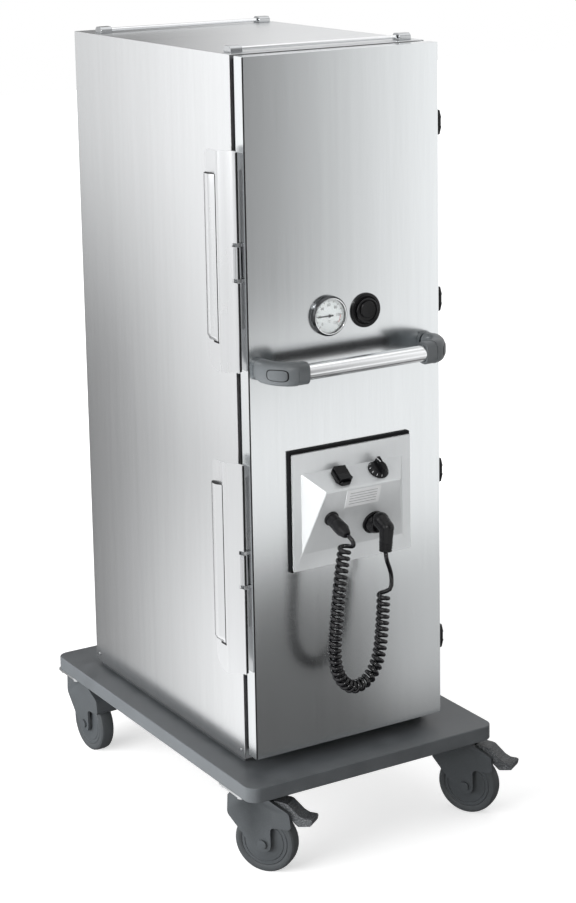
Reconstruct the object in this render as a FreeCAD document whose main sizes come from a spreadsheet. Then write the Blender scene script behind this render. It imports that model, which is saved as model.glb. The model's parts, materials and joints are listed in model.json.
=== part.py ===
"""Heated food-transport trolley: a tall insulated cabinet with one hinged door on a wheeled bumper base.

Millimetres, +Z up. The origin is on the floor under the middle of the trolley's outline, the door faces -Y
and its hinges are on the +X side.
"""
import FreeCAD
import Part
import Sketcher
import math
import os

from FreeCAD import Placement, Rotation, Vector

doc = FreeCAD.newDocument("food_trolley")
sheet = doc.addObject("Spreadsheet::Sheet", "dims")

DRIVING = [
    # cabinet
    ("cab_x", -40.1, "middle of the cabinet in X"),
    ("door_y", -338.5, "front face of the door"),
    ("cab_width", 430.0, "outside width of cabinet and door"),
    ("cab_top", 1577.0, "top of the cabinet"),
    ("cab_bottom", 210.0, "lower edge of the side panels"),
    ("cab_front", 46.0, "front of the cabinet behind the door face"),
    ("cab_back", 688.0, "back of the cabinet behind the door face"),
    ("sheet_thick", 1.5, "outer sheet metal"),
    ("liner_thick", 1.2, "inner sheet metal"),
    ("cell_width", 330.0, "clear width of the compartment"),
    ("cell_low", 265.0, "floor of the compartment"),
    ("cell_high", 1525.0, "ceiling of the compartment"),
    ("cell_back", 628.0, "back wall of the compartment behind the door face"),
    ("runner_count", 16, "pairs of runners"),
    ("runner_pitch", 75.0, "height from runner to runner"),
    ("runner_reach", 18.0, "runner sticking out of its wall"),
    ("runner_length", 530.0, "runner length, one gastronorm pan"),
    # base and casters
    ("base_width", 570.0, "bumper base across"),
    ("base_depth", 850.0, "bumper base front to back"),
    ("base_x", -22.6, "middle of the bumper base in X"),
    ("base_y", 21.5, "middle of the bumper base in Y"),
    ("base_low", 170.0, "underside of the bumper base"),
    ("base_thick", 30.0, "thickness of the bumper base"),
    ("base_corner", 25.0, "corner radius of the bumper base"),
    ("swivel_x", 241.0, "caster swivels either side of the middle"),
    ("swivel_front", -313.5, "front caster swivels in Y"),
    ("swivel_back", 401.5, "rear caster swivels in Y"),
    ("wheel_dia", 125.0, "caster wheel diameter"),
    ("wheel_wide", 32.0, "caster wheel width"),
    ("trail", 40.0, "wheel axle ahead of its swivel"),
    ("fork_wide", 50.0, "caster fork across its cheeks"),
    ("turn_fl", 36.0, "front left caster, turned from straight ahead"),
    ("turn_fr", 32.0, "front right caster"),
    ("turn_bl", 3.0, "rear left caster"),
    ("turn_br", 9.0, "rear right caster"),
    # door
    ("door_thick", 30.0, "door thickness"),
    ("door_low", 225.0, "lower edge of the door"),
    ("door_high", 1576.0, "upper edge of the door"),
    ("seal_depth", 15.6, "door seal from the door's back"),
    ("hinge_out", 225.0, "hinge axis from the cabinet's middle"),
    ("hinge_deep", 18.0, "hinge axis behind the door face"),
    ("hinge_first", 380.0, "middle of the lowest hinge"),
    ("hinge_pitch", 346.7, "height from hinge to hinge"),
    ("hinge_tall", 48.0, "hinge block height"),
    ("latch_tall", 416.0, "latch lever length"),
    ("latch_high", 1197.0, "middle of the upper latch"),
    ("latch_lowz", 606.0, "middle of the lower latch"),
    ("latch_out", 223.5, "latch pivot from the cabinet's middle"),
    ("latch_deep", 16.0, "latch pivot behind the door face"),
    ("grip_z", 993.0, "push handle height"),
    ("grip_out", 66.0, "push handle bar in front of the door"),
    ("grip_dia", 31.0, "push handle bar diameter"),
    ("dial_x", -40.0, "thermometer from the cabinet's middle"),
    ("dial_z", 1077.0, "thermometer height"),
    ("vent_x", 44.0, "vent knob from the cabinet's middle"),
    # heating module in the door
    ("mod_x", 3.5, "middle of the heating module from the cabinet's middle"),
    ("mod_low", 590.0, "lower edge of the module plate"),
    ("mod_high", 820.0, "upper edge of the module plate"),
    ("mod_wide", 268.0, "module plate across"),
    ("mod_out", 11.0, "module plate face in front of the door"),
    ("hood_wide", 231.0, "control hood across at the plate"),
    ("hood_low", 622.0, "control hood lower edge"),
    ("hood_high", 780.0, "control hood upper edge"),
    ("ridge_out", 52.0, "control hood ridge in front of the door"),
    ("ridge_z", 749.0, "control hood ridge height"),
    ("ridge_wide", 169.0, "control hood ridge across"),
    ("fan_z", 700.0, "fan axis height"),
    # cord
    ("cord_dia", 8.0, "cord diameter"),
    ("curl_dia", 27.0, "outside diameter of the curls"),
    ("curls", 42, "number of curls"),
]

for row, (alias, value, note) in enumerate(DRIVING, start=1):
    sheet.set(f"A{row}", alias)
    sheet.set(f"B{row}", str(value))
    sheet.set(f"C{row}", note)
    sheet.setAlias(f"B{row}", alias)
doc.recompute()

nodes = {}


def size(alias):
    """A driving dimension as a number."""
    return float(sheet.get(alias))


def keep(label, item):
    """Marks an object of the document as a finished sub-part."""
    item.Label = label
    nodes[label] = item
    return item


def bind(item, **expressions):
    """Binds properties to the sheet; x, y and z stand for the placement's base."""
    for name, expression in expressions.items():
        path = f"Placement.Base.{name}" if name in ("x", "y", "z") else name
        item.setExpression(path, str(expression))
    return item


def box(name, x, y, z, length, width, height):
    """A block from its lowest corner; every argument is an expression."""
    item = doc.addObject("Part::Box", name)
    return bind(item, x=x, y=y, z=z, Length=length, Width=width, Height=height)


def rod(name, x, y, z, radius, height, direction=Vector(0, 0, 1)):
    """A cylinder from its base centre along a direction."""
    item = doc.addObject("Part::Cylinder", name)
    item.Placement.Rotation = Rotation(Vector(0, 0, 1), direction)
    return bind(item, x=x, y=y, z=z, Radius=radius, Height=height)


def fuse(name, items):
    item = doc.addObject("Part::MultiFuse", name)
    item.Shapes = items
    return item


def cut(name, base, tools):
    """base with one or several tools taken out."""
    item = doc.addObject("Part::Cut", name)
    item.Base = base
    item.Tool = tools[0] if len(tools) == 1 else fuse(name + "_tools", tools)
    return item


def group(name, items):
    """Several separate solids that make one node."""
    item = doc.addObject("Part::Compound", name)
    item.Links = items
    return item


def outline(points):
    """Edges of a closed outline; a point is (a, b) or (a, b, corner radius)."""
    corners = [(Vector(p[0], p[1], 0), p[2] if len(p) > 2 else 0.0) for p in points]
    count = len(corners)
    ends = []
    for i, (here, radius) in enumerate(corners):
        before = (corners[i - 1][0] - here).normalize()
        after = (corners[(i + 1) % count][0] - here).normalize()
        if radius <= 0:
            ends.append((here, None, here))
            continue
        half = before.getAngle(after) / 2
        run = radius / math.tan(half)
        inward = (before + after).normalize()
        middle = here + inward * (radius / math.sin(half) - radius)
        ends.append((here + before * run, middle, here + after * run))
    edges = []
    for i, (start, middle, end) in enumerate(ends):
        if middle is not None:
            edges.append(Part.Arc(start, middle, end))
        following = ends[(i + 1) % count][0]
        if end.distanceToPoint(following) > 1e-6:
            edges.append(Part.LineSegment(end, following))
    return edges


def sketch_in(body, role, edges, name):
    """A sketch on one of the body's own origin planes."""
    sketch = body.newObject("Sketcher::SketchObject", name)
    plane = [item for item in body.Origin.OriginFeatures if item.Role == role][0]
    sketch.AttachmentSupport = [(plane, "")]
    sketch.MapMode = "FlatFace"
    for edge in edges:
        sketch.addGeometry(edge, False)
    return sketch


def prism(name, role, points, length, middle=False, back=False):
    """A body padded from an outline on the plane XY, XZ or YZ of its own origin."""
    body = doc.addObject("PartDesign::Body", name)
    sketch = sketch_in(body, role, outline(points), name + "_outline")
    pad = body.newObject("PartDesign::Pad", name + "_pad")
    pad.Profile = sketch
    pad.setExpression("Length", str(length))
    pad.Midplane = middle
    pad.Reversed = back
    body.Tip = pad
    return body


def turned(name, points, direction=Vector(0, 0, 1)):
    """A body turned about an axis, from an outline of (radius, distance along the axis) points."""
    body = doc.addObject("PartDesign::Body", name)
    sketch = sketch_in(body, "XZ_Plane", outline(points), name + "_outline")
    turn = body.newObject("PartDesign::Revolution", name + "_turn")
    turn.Profile = sketch
    turn.ReferenceAxis = (sketch, ["V_Axis"])
    turn.Angle = 360.0
    body.Tip = turn
    body.Placement.Rotation = Rotation(Vector(0, 0, 1), direction)
    return body


def slab(name, length, width, height, corner):
    """A body: a rectangle centred on its origin, padded, with its upright edges rounded."""
    body = doc.addObject("PartDesign::Body", name)
    rectangle = outline([(-50, -50), (50, -50), (50, 50), (-50, 50)])
    sketch = sketch_in(body, "XY_Plane", rectangle, name + "_outline")
    for i in range(4):
        sketch.addConstraint(Sketcher.Constraint("Coincident", i, 2, (i + 1) % 4, 1))
    for i, kind in enumerate(("Horizontal", "Vertical", "Horizontal", "Vertical")):
        sketch.addConstraint(Sketcher.Constraint(kind, i))
    sketch.addConstraint(Sketcher.Constraint("Symmetric", 0, 1, 2, 1, -1, 1))
    across = sketch.addConstraint(Sketcher.Constraint("DistanceX", 0, 1, 0, 2, 100.0))
    along = sketch.addConstraint(Sketcher.Constraint("DistanceY", 1, 1, 1, 2, 100.0))
    sketch.setExpression(f"Constraints[{across}]", str(length))
    sketch.setExpression(f"Constraints[{along}]", str(width))
    pad = body.newObject("PartDesign::Pad", name + "_pad")
    pad.Profile = sketch
    pad.setExpression("Length", str(height))
    doc.recompute()
    upright = [
        f"Edge{i + 1}"
        for i, edge in enumerate(pad.Shape.Edges)
        if abs(edge.Vertexes[0].Z - edge.Vertexes[1].Z) > 1e-3
    ]
    rounding = body.newObject("PartDesign::Fillet", name + "_rounding")
    rounding.Base = (pad, upright)
    rounding.setExpression("Radius", str(corner))
    body.Tip = rounding
    return body


def flat_face(points):
    """A flat face on XY inside an outline."""
    return Part.Face(Part.Wire([edge.toShape() for edge in outline(points)]))


def solid(name, shape):
    """A Part::Feature with a shape worked out here."""
    item = doc.addObject("Part::Feature", name)
    item.Shape = shape
    return item


# cabinet
half_cab = "dims.cab_width / 2"
front_y = "dims.door_y + dims.cab_front"
back_y = "dims.door_y + dims.cab_back"
panel_tall = "dims.cab_top - dims.cab_bottom"


def side_panel(label, x):
    item = box(label, x, front_y, "dims.cab_bottom", "dims.sheet_thick", "dims.cab_back - dims.cab_front",
               panel_tall)
    keep(label, item)


side_panel("side_panel_left", f"dims.cab_x - {half_cab}")
side_panel("side_panel_right", f"dims.cab_x + {half_cab} - dims.sheet_thick")

skin_inner = "(dims.cab_width - 2 * dims.sheet_thick - 0.4)"
keep("top_panel", box("top_panel", f"dims.cab_x - {skin_inner} / 2", front_y,
                      "dims.cab_top - dims.sheet_thick", skin_inner,
                      "dims.cab_back - dims.cab_front", "dims.sheet_thick"))
keep("back_panel", box("back_panel", f"dims.cab_x - {skin_inner} / 2", f"{back_y} - dims.sheet_thick",
                       "dims.cab_bottom", skin_inner, "dims.sheet_thick",
                       f"{panel_tall} - dims.sheet_thick - 0.2"))

liner_out = "(dims.cell_width + 2 * dims.liner_thick)"
foam_wide = f"({skin_inner} - 0.4)"
foam_low = "(dims.cab_bottom + 1)"
foam_high = "(dims.cab_top - dims.sheet_thick - 0.4)"
foam_front = f"({front_y} + dims.liner_thick + 0.2)"
foam_back = f"({back_y} - dims.sheet_thick - 0.4)"
foam_side = f"({foam_wide} / 2 - {liner_out} / 2 - 0.2)"
cell_z0 = "(dims.cell_low - dims.liner_thick - 0.2)"
cell_z1 = "(dims.cell_high + dims.liner_thick + 0.2)"
cell_y1 = "(dims.door_y + dims.cell_back + dims.liner_thick + 0.2)"
foam_deep = f"({foam_back} - {foam_front})"
inner_x = f"dims.cab_x - {liner_out} / 2 - 0.2"
inner_wide = f"{liner_out} + 0.4"
foam = [
    box("foam_left", f"dims.cab_x - {foam_wide} / 2", foam_front, foam_low, foam_side, foam_deep,
        f"{foam_high} - {foam_low}"),
    box("foam_right", f"dims.cab_x + {liner_out} / 2 + 0.2", foam_front, foam_low, foam_side, foam_deep,
        f"{foam_high} - {foam_low}"),
    box("foam_bottom", inner_x, foam_front, foam_low, inner_wide, foam_deep, f"{cell_z0} - {foam_low}"),
    box("foam_top", inner_x, foam_front, cell_z1, inner_wide, foam_deep, f"{foam_high} - {cell_z1}"),
    box("foam_rear", inner_x, cell_y1, cell_z0, inner_wide, f"{foam_back} - {cell_y1}",
        f"{cell_z1} - {cell_z0}"),
]
keep("insulation", group("insulation", foam))

liner_outer = box("liner_outer", f"dims.cab_x - {liner_out} / 2", foam_front,
                  "dims.cell_low - dims.liner_thick",
                  liner_out, f"dims.door_y + dims.cell_back + dims.liner_thick - {foam_front}",
                  "dims.cell_high - dims.cell_low + 2 * dims.liner_thick")
liner_hollow = box("liner_hollow", "dims.cab_x - dims.cell_width / 2", f"{foam_front} - 10",
                   "dims.cell_low",
                   "dims.cell_width", f"dims.door_y + dims.cell_back - {foam_front} + 10",
                   "dims.cell_high - dims.cell_low")
keep("inner_liner", cut("inner_liner", liner_outer, [liner_hollow]))

frame_blank = box("frame_blank", f"dims.cab_x - {foam_wide} / 2", front_y, foam_low, foam_wide,
                  "dims.liner_thick", f"{foam_high} - {foam_low}")
frame_hole = box("frame_hole", "dims.cab_x - dims.cell_width / 2", f"{front_y} - 5", "dims.cell_low",
                 "dims.cell_width", "10", "dims.cell_high - dims.cell_low")
keep("front_frame", cut("front_frame", frame_blank, [frame_hole]))


runner_y = "dims.door_y + dims.cell_back - dims.runner_length - 4"
walls, runners = [], []
for side in (-1, 1):
    wall_face = f"dims.cab_x + {side} * (dims.cell_width / 2 - 1.5)"
    walls.append(box(f"runner_wall_{side + 1}", f"{wall_face} - 0.5", runner_y, "dims.cell_low + 8", 1,
                     "dims.runner_length", "dims.cell_high - dims.cell_low - 16"))
    inner_face = f"dims.cab_x + {side} * (dims.cell_width / 2 - 2.0)"
    low_x = inner_face if side < 0 else f"{inner_face} - dims.runner_reach"
    for i in range(int(size("runner_count"))):
        runners.append(box(f"runner_{side + 1}_{i}", low_x, runner_y,
                           f"dims.cell_low + 25 + {i} * dims.runner_pitch", "dims.runner_reach",
                           "dims.runner_length", 2))
keep("runner_walls", group("runner_walls", walls))
keep("pan_runners", group("pan_runners", runners))

# gallery rails on the roof
rail_z = "dims.cab_top + 6"
rail_half = 172.0
rail_rows = ("dims.door_y + 80", "dims.door_y + 608")
rails, brackets = [], []
for i, y in enumerate(rail_rows):
    rail = prism(f"rail_{i}", "YZ_Plane", [(-5, -3.5, 3), (5, -3.5, 3), (5, 3.5, 3), (-5, 3.5, 3)],
                 str(2 * rail_half), middle=True)
    rails.append(bind(rail, x="dims.cab_x", y=y, z=rail_z))
    for side in (-1, 1):
        lump = prism(f"bracket_{i}_{side + 1}", "YZ_Plane",
                     [(-13, -6, 1), (13, -6, 1), (13, 2, 5), (8, 7, 4), (-8, 7, 4), (-13, 2, 5)], "26",
                     back=side < 0)
        bind(lump, x=f"dims.cab_x + {side * (rail_half + 2)}", y=y, z=rail_z)
        stub = box(f"stub_{i}_{side + 1}", f"dims.cab_x + {side * (rail_half + 2) - 3 - side}",
                   f"{y} - 3.2",
                   f"{rail_z} - 2.2", "4", "6.4", "4.4")
        brackets.append(cut(f"gallery_bracket_{i}_{side + 1}", lump, [stub]))
keep("gallery_rails", group("gallery_rails", rails))
keep("gallery_brackets", group("gallery_brackets", brackets))

# base
plate = slab("base_blank", "dims.base_width", "dims.base_depth", "dims.base_thick", "dims.base_corner")
bind(plate, x="dims.base_x", y="dims.base_y", z="dims.base_low")
keep("base_plate", plate)

plinth = slab("plinth", "dims.cab_width - 12", "dims.cab_back - 64", "9.8", "4")
bind(plinth, x="dims.cab_x", y="dims.door_y + dims.cab_back / 2 + 26", z="dims.base_low + dims.base_thick")
keep("plinth_board", plinth)

# casters
corners = {
    "fl": (-1, "dims.swivel_front", "dims.turn_fl", True),
    "fr": (1, "dims.swivel_front", "dims.turn_fr", True),
    "bl": (-1, "dims.swivel_back", "dims.turn_bl", False),
    "br": (1, "dims.swivel_back", "dims.turn_br", False),
}
wheel_r = size("wheel_dia") / 2
axle_u, axle_z = size("trail"), size("wheel_dia") / 2
plate_under = size("base_low") - 4.0
fork_top = plate_under - 9.0
pedal_u, pedal_z = 70.0, 128.0
across = Vector(1, 0, 0)


def stand(item, tag):
    """Puts a caster piece, drawn with its swivel axis on Z and its trail towards -Y, at its corner."""
    side, y, turn, _ = corners[tag]
    item.setExpression("Placement.Base.x", f"dims.base_x + {side} * dims.swivel_x")
    item.setExpression("Placement.Base.y", y)
    item.Placement.Rotation = Rotation(Vector(0, 0, 1), 0)
    item.setExpression("Placement.Rotation.Angle", turn)
    return item


def side_view(points):
    """Points of (ahead of the swivel, height, corner) turned to the sketch of a YZ plane."""
    return [(-p[0],) + tuple(p[1:]) for p in points]


def caster_fork(tag):
    shape = side_view([
        (-31, fork_top, 5), (-33, 116, 16), (26, 46, 14), (58, 47, 15), (57, 99, 8), (101, 99, 8),
        (97, 132, 12), (50, fork_top, 16),
    ])
    cheeks = prism(f"fork_cheeks_{tag}", "YZ_Plane", shape, "dims.fork_wide", middle=True)
    raceway = rod(f"raceway_{tag}", 0, 0, fork_top - 6, 30, plate_under - 0.4 - fork_top + 6)
    lump = fuse(f"fork_lump_{tag}", [cheeks, raceway])
    wheel_room = rod(f"wheel_room_{tag}", -(size("wheel_wide") / 2 + 3.5), -axle_u, axle_z, wheel_r + 4.5,
                     "dims.wheel_wide + 7", across)
    tools = [wheel_room, rod(f"axle_hole_{tag}", -40, -axle_u, axle_z, 5, 80, across),
             rod(f"king_hole_{tag}", 0, 0, plate_under - 30, 6.06, 40)]
    if corners[tag][3]:
        tools.append(box(f"pedal_room_{tag}", -17.8, -115, 100, 35.6, 69, 80))
        tools.append(rod(f"pedal_hole_{tag}", -30, -pedal_u, pedal_z, 3, 60, across))
    fork = cut(f"fork_{tag}", lump, tools)
    bolt = rod(f"axle_{tag}", "-dims.fork_wide / 2 - 1", -axle_u, axle_z, 4.99, "dims.fork_wide + 2",
               across)
    heads = [rod(f"axle_head_{tag}_{i}", x, -axle_u, axle_z, 9, 4, across)
             for i, x in enumerate(("dims.fork_wide / 2 + 0.02", "-dims.fork_wide / 2 - 4.02"))]
    pieces = [fork, fuse(f"axle_bolt_{tag}", [bolt] + heads)]
    if corners[tag][3]:
        pieces.append(rod(f"pedal_pin_{tag}", "-dims.fork_wide / 2", -pedal_u, pedal_z, 2.99,
                          "dims.fork_wide", across))
    keep(f"caster_fork_{tag}", stand(group(f"caster_fork_{tag}", pieces), tag))


def caster_wheel(tag):
    half = size("wheel_wide") / 2
    core = turned(f"core_{tag}", [
        (5.05, -half - 2.6), (14, -half - 2.6, 1), (16, -5, 3), (44, -5, 3), (45, -half + 4), (49,
                                                                                               -half + 4),
        (49, half - 4), (45, half - 4), (44, 5, 3), (16, 5, 3), (14, half + 2.6, 1), (5.05, half + 2.6)],
        across)
    tyre = turned(f"tyre_{tag}", [
        (49.02, -half + 1, 1), (56, -half, 3), (wheel_r, -half + 7, 7), (wheel_r, half - 7, 7), (56, half,
                                                                                                 3),
        (49.02, half - 1, 1)], across)
    for item in (core, tyre):
        bind(item, y=-axle_u, z=axle_z)
    keep(f"caster_wheel_{tag}", stand(group(f"caster_wheel_{tag}", [core, tyre]), tag))


def brake_pedal(tag):
    shape = side_view([
        (52, 133, 4), (56, 153, 12), (90, 150, 14), (113, 130, 6), (124, 125, 4), (142, 125, 4), (139, 111,
                                                                                                  5),
        (112, 106, 5), (100, 116, 4), (80, 126, 4)])
    lump = prism(f"pedal_lump_{tag}", "YZ_Plane", shape, "34", middle=True)
    pedal = cut(f"pedal_{tag}", lump, [rod(f"pedal_bore_{tag}", -30, -pedal_u, pedal_z, 3.05, 60, across)])
    keep(f"brake_pedal_{tag}", stand(pedal, tag))


for tag, (side, y, turn, braked) in corners.items():
    caster_fork(tag)
    caster_wheel(tag)
    if braked:
        brake_pedal(tag)

bolt_spots = ((-31, -31), (31, -31), (31, 31), (-31, 31))
plates = []
for tag, (side, y, turn, braked) in corners.items():
    swivel = f"dims.base_x + {side} * dims.swivel_x"
    top = slab(f"top_plate_{tag}", "86", "86", "4", "10")
    bind(top, x=swivel, y=y, z="dims.base_low - 4")
    pin = rod(f"king_pin_{tag}", swivel, y, "dims.base_low - 26", 6, "24")
    holes = [
        rod(f"bolt_hole_{tag}_{i}", f"{swivel} + {dx}", f"{y} + {dy}", "dims.base_low - 8", 5.5, "12")
        for i, (dx, dy) in enumerate(bolt_spots)
    ]
    plates.append(cut(f"caster_plate_{tag}", fuse(f"plate_pin_{tag}", [top, pin]), holes))
keep("caster_plates", group("caster_plates", plates))
bolts = []
for tag, (side, y, turn, braked) in corners.items():
    for i, (dx, dy) in enumerate(bolt_spots):
        x = f"dims.base_x + {side} * dims.swivel_x + {dx}"
        head = doc.addObject("Part::Prism", f"bolt_head_{tag}_{i}")
        head.Polygon = 6
        head.Circumradius = 9.0
        head.Height = 6.0
        bind(head, x=x, y=f"{y} + {dy}", z="dims.base_low - 10.02")
        bolts.append(head)
keep("caster_bolts", group("caster_bolts", bolts))

# hinges
hinge_x = "dims.cab_x + dims.hinge_out"
hinge_y = "dims.door_y + dims.hinge_deep"
blocks, pins, leaves = [], [], []
for i in range(4):
    z = f"dims.hinge_first + {i} * dims.hinge_pitch"
    low = f"{z} - dims.hinge_tall / 2"
    barrel = turned(f"barrel_{i}", [(3, -24), (5.5, -24, 2), (9, -8), (9, 8), (5.5, 24, 2), (3, 24)])
    bind(barrel, x=hinge_x, y=hinge_y, z=z)
    arm = box(f"hinge_arm_{i}", f"{hinge_x} - 8.8", f"{hinge_y} + 4", low, "3", "30", "dims.hinge_tall")
    leaf = box(f"hinge_leaf_{i}", f"dims.cab_x + {half_cab}", f"{hinge_y} + 28.5", low, "3.2", "34",
               "dims.hinge_tall")
    room = rod(f"knuckle_room_{i}", hinge_x, hinge_y, f"{z} - 8.2", 18.2, "16.4")
    block = cut(f"hinge_block_{i}", fuse(f"hinge_solid_{i}", [barrel, arm, leaf]),
                [room, rod(f"pin_hole_{i}", hinge_x, hinge_y, f"{z} - 30", 3, "60")])
    blocks.append(block)
    pins.append(rod(f"pin_{i}", hinge_x, hinge_y, f"{z} - 24", 2.995, "48"))
    knuckle = rod(f"knuckle_{i}", hinge_x, hinge_y, f"{z} - 7.8", 8, "15.6")
    wing = box(f"door_leaf_{i}", f"dims.cab_x + {half_cab}", "dims.door_y + 6", f"{z} - 7.8", "3", "19",
               "15.6")
    bore = rod(f"knuckle_bore_{i}", hinge_x, hinge_y, f"{z} - 20", 3.05, "40")
    leaves.append(cut(f"hinge_wing_{i}", fuse(f"hinge_eye_{i}", [knuckle, wing]), [bore]))
keep("hinge_blocks", group("hinge_blocks", blocks))
keep("hinge_pins", group("hinge_pins", pins))
keep("hinge_leaves", group("hinge_leaves", leaves))

# door
door_tall = "dims.door_high - dims.door_low"
mod_x = "dims.cab_x + dims.mod_x"
well_wide, well_low, well_tall = "206", "604", "202"


def door_holes(name, gauge_r, vent_r, ease):
    """Room in the door for the thermometer, the vent and the heating module."""
    return [
        rod(f"{name}_gauge_hole", "dims.cab_x + dims.dial_x", "dims.door_y - 5", "dims.dial_z", gauge_r,
            "50", Vector(0, 1, 0)),
        rod(f"{name}_vent_hole", "dims.cab_x + dims.vent_x", "dims.door_y - 5", "dims.dial_z", vent_r, "50",
            Vector(0, 1, 0)),
        box(f"{name}_well", f"{mod_x} - {well_wide} / 2 - {ease}", "dims.door_y - 5",
            f"{well_low} - {ease}",
            f"{well_wide} + 2 * {ease}", "50", f"{well_tall} + 2 * {ease}"),
    ]


skin_block = box("skin_block", f"dims.cab_x - {half_cab}", "dims.door_y", "dims.door_low", "dims.cab_width",
                 "dims.door_thick", door_tall)
skin_hollow = box("skin_hollow", f"dims.cab_x - {half_cab} + dims.liner_thick",
                  "dims.door_y + dims.liner_thick",
                  "dims.door_low + dims.liner_thick", "dims.cab_width - 2 * dims.liner_thick",
                  "dims.door_thick",
                  f"{door_tall} - 2 * dims.liner_thick")
keep("door_skin", cut("door_skin", skin_block, [skin_hollow] + door_holes("skin", 29, 20, 0)))
door_liner = box("liner_sheet", f"dims.cab_x - {half_cab} + 1.4", "dims.door_y + 28.8",
                 "dims.door_low + 1.4",
                 "dims.cab_width - 2.8", "1.2", f"{door_tall} - 2.8")
keep("door_liner", cut("door_liner", door_liner, [door_holes("liner", 10, 12, 0)[1], door_holes("well", 10,
                                                                                                12, 0)[2]]))
core = box("core_block", f"dims.cab_x - {half_cab} + 1.6", "dims.door_y + 1.4", "dims.door_low + 1.6",
           "dims.cab_width - 3.2", "27.2", f"{door_tall} - 3.2")
keep("door_insulation", cut("door_insulation", core, door_holes("core", 30, 21, 1)))
seal_outer = box("seal_outer", f"dims.cab_x - {half_cab} + 6", "dims.door_y + dims.door_thick",
                 "dims.door_low + 6",
                 "dims.cab_width - 12", "dims.seal_depth", f"{door_tall} - 12")
seal_inner = box("seal_inner", f"dims.cab_x - {half_cab} + 24", "dims.door_y + 10", "dims.door_low + 24",
                 "dims.cab_width - 48", "60", f"{door_tall} - 48")
keep("door_seal", cut("door_seal", seal_outer, [seal_inner]))

# push handle
grip = rod("handle_bar", "dims.cab_x - 136", "dims.door_y - dims.grip_out", "dims.grip_z",
           "dims.grip_dia / 2", "272", across)
keep("handle_bar", grip)
handle_sides = []
for side in (-1, 1):
    shape = [(side * a, b, r) for a, b, r in (
        (212, -0.02, 1), (212, -14, 8), (182, -66, 20), (158, -84, 10), (131, -84, 3), (131, -48, 3),
        (152, -48, 8), (178, -14, 12), (174, -0.02, 1))]
    arm = prism(f"handle_arm_{side + 1}", "XY_Plane", shape, "44")
    bind(arm, x="dims.cab_x", y="dims.door_y", z="dims.grip_z - 22")
    seat = rod(f"grip_seat_{side + 1}", "dims.cab_x - 136.02", "dims.door_y - dims.grip_out", "dims.grip_z",
               "dims.grip_dia / 2 + 0.02", "272.04", across)
    handle_sides.append(cut(f"handle_bracket_{side + 1}", arm, [seat]))
keep("handle_brackets", group("handle_brackets", handle_sides))

# thermometer: a turned case with dial, needle and glass, all facing the front
ahead = Vector(0, -1, 0)


def face_on(item, x, out):
    """Puts a turned piece on the door's face, its own Z pointing forward."""
    return bind(item, x=f"dims.cab_x + {x}", y=f"dims.door_y - {out}", z="dims.dial_z")


case = turned("case", [(0, -24), (28, -24, 2), (28, 0.05), (38.5, 0.05), (38.5, 8, 3), (35, 12, 2),
                       (33, 12),
                       (33, 3), (0, 3)], ahead)
keep("thermometer_case", face_on(case, "dims.dial_x", 0))
keep("thermometer_dial", face_on(rod("dial", 0, 0, 0, 32.8, 0.8, ahead), "dims.dial_x", 3.05))
keep("thermometer_glass", face_on(rod("glass", 0, 0, 0, 32.8, 1.6, ahead), "dims.dial_x", 8.4))
needle = prism("needle", "XZ_Plane", [(9, -1.6, 1.2), (9, 1.6, 1.2), (-27, 0.7, 0.5), (-27, -0.7, 0.5)],
               "0.8")
hub = rod("needle_hub", 0, 0, 0, 3, 1.4, ahead)
pointer = fuse("thermometer_needle", [needle, hub])
keep("thermometer_needle", face_on(pointer, "dims.dial_x", 5.2))

# vent: a fixed rosette and a turning slide with a grip bar
rosette = turned("rosette", [(0, -22), (19, -22), (19, 0.05), (33.5, 0.05), (33.5, 4, 3), (26, 5, 2),
                             (26, 3), (0, 3)], ahead)
keep("vent_rosette", face_on(rosette, "dims.vent_x", 0))
slide = turned("slide", [(0, 3.3), (24.5, 3.3), (24.5, 10, 3), (19, 12, 2), (17, 9, 2), (0, 9)], ahead)
bar = box("slide_bar", -16, -15, -3, 32, 7, 6)
vent = fuse("vent_knob", [slide, bar])
keep("vent_knob", face_on(vent, "dims.vent_x", 0))

# heating module
module_back = "dims.door_y - dims.mod_out + 2"
seal_blank = box("module_seal_blank", f"{mod_x} - dims.mod_wide / 2 - 2", module_back, "dims.mod_low - 2",
                 "dims.mod_wide + 4", "dims.mod_out - 2.02", "dims.mod_high - dims.mod_low + 4")
seal_room = box("module_seal_room", f"{mod_x} - {well_wide} / 2", "dims.door_y - 30", well_low, well_wide,
                "60", well_tall)
keep("module_seal", cut("module_seal", seal_blank, [seal_room]))


def hood(name, inset, deeper):
    """The control hood's wedge, smaller by the inset and with its base carried on deeper past the plate."""
    wedge = doc.addObject("Part::Wedge", name)
    out, ridge_y = "dims.mod_out", f"(dims.ridge_out - {inset})"
    grow = f"(1 + {deeper} / ({ridge_y} - {out}))"
    half, ridge = f"(dims.hood_wide / 2 - {inset})", f"(dims.ridge_wide / 2 - {inset})"
    base_half = f"({ridge} + ({half} - {ridge}) * {grow})"
    low = f"dims.ridge_z + (dims.hood_low + {inset} - dims.ridge_z) * {grow}"
    high = f"dims.ridge_z + (dims.hood_high - {inset} - dims.ridge_z) * {grow}"
    wedge.Placement.Rotation = Rotation(Vector(0, 0, 1), 180)
    return bind(wedge, Xmin=f"-{base_half}", Xmax=base_half, X2min=f"-{ridge}", X2max=ridge,
                Ymin=f"{out} - {deeper}",
                Ymax=ridge_y, Zmin=low, Zmax=high, Z2min="dims.ridge_z", Z2max="dims.ridge_z", x=mod_x,
                y="dims.door_y")


def to_module(shape):
    """Moves a shape drawn about the module's middle and the door's face to its place."""
    return shape.translated(Vector(size("cab_x") + size("mod_x"), size("door_y"), 0))


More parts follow.
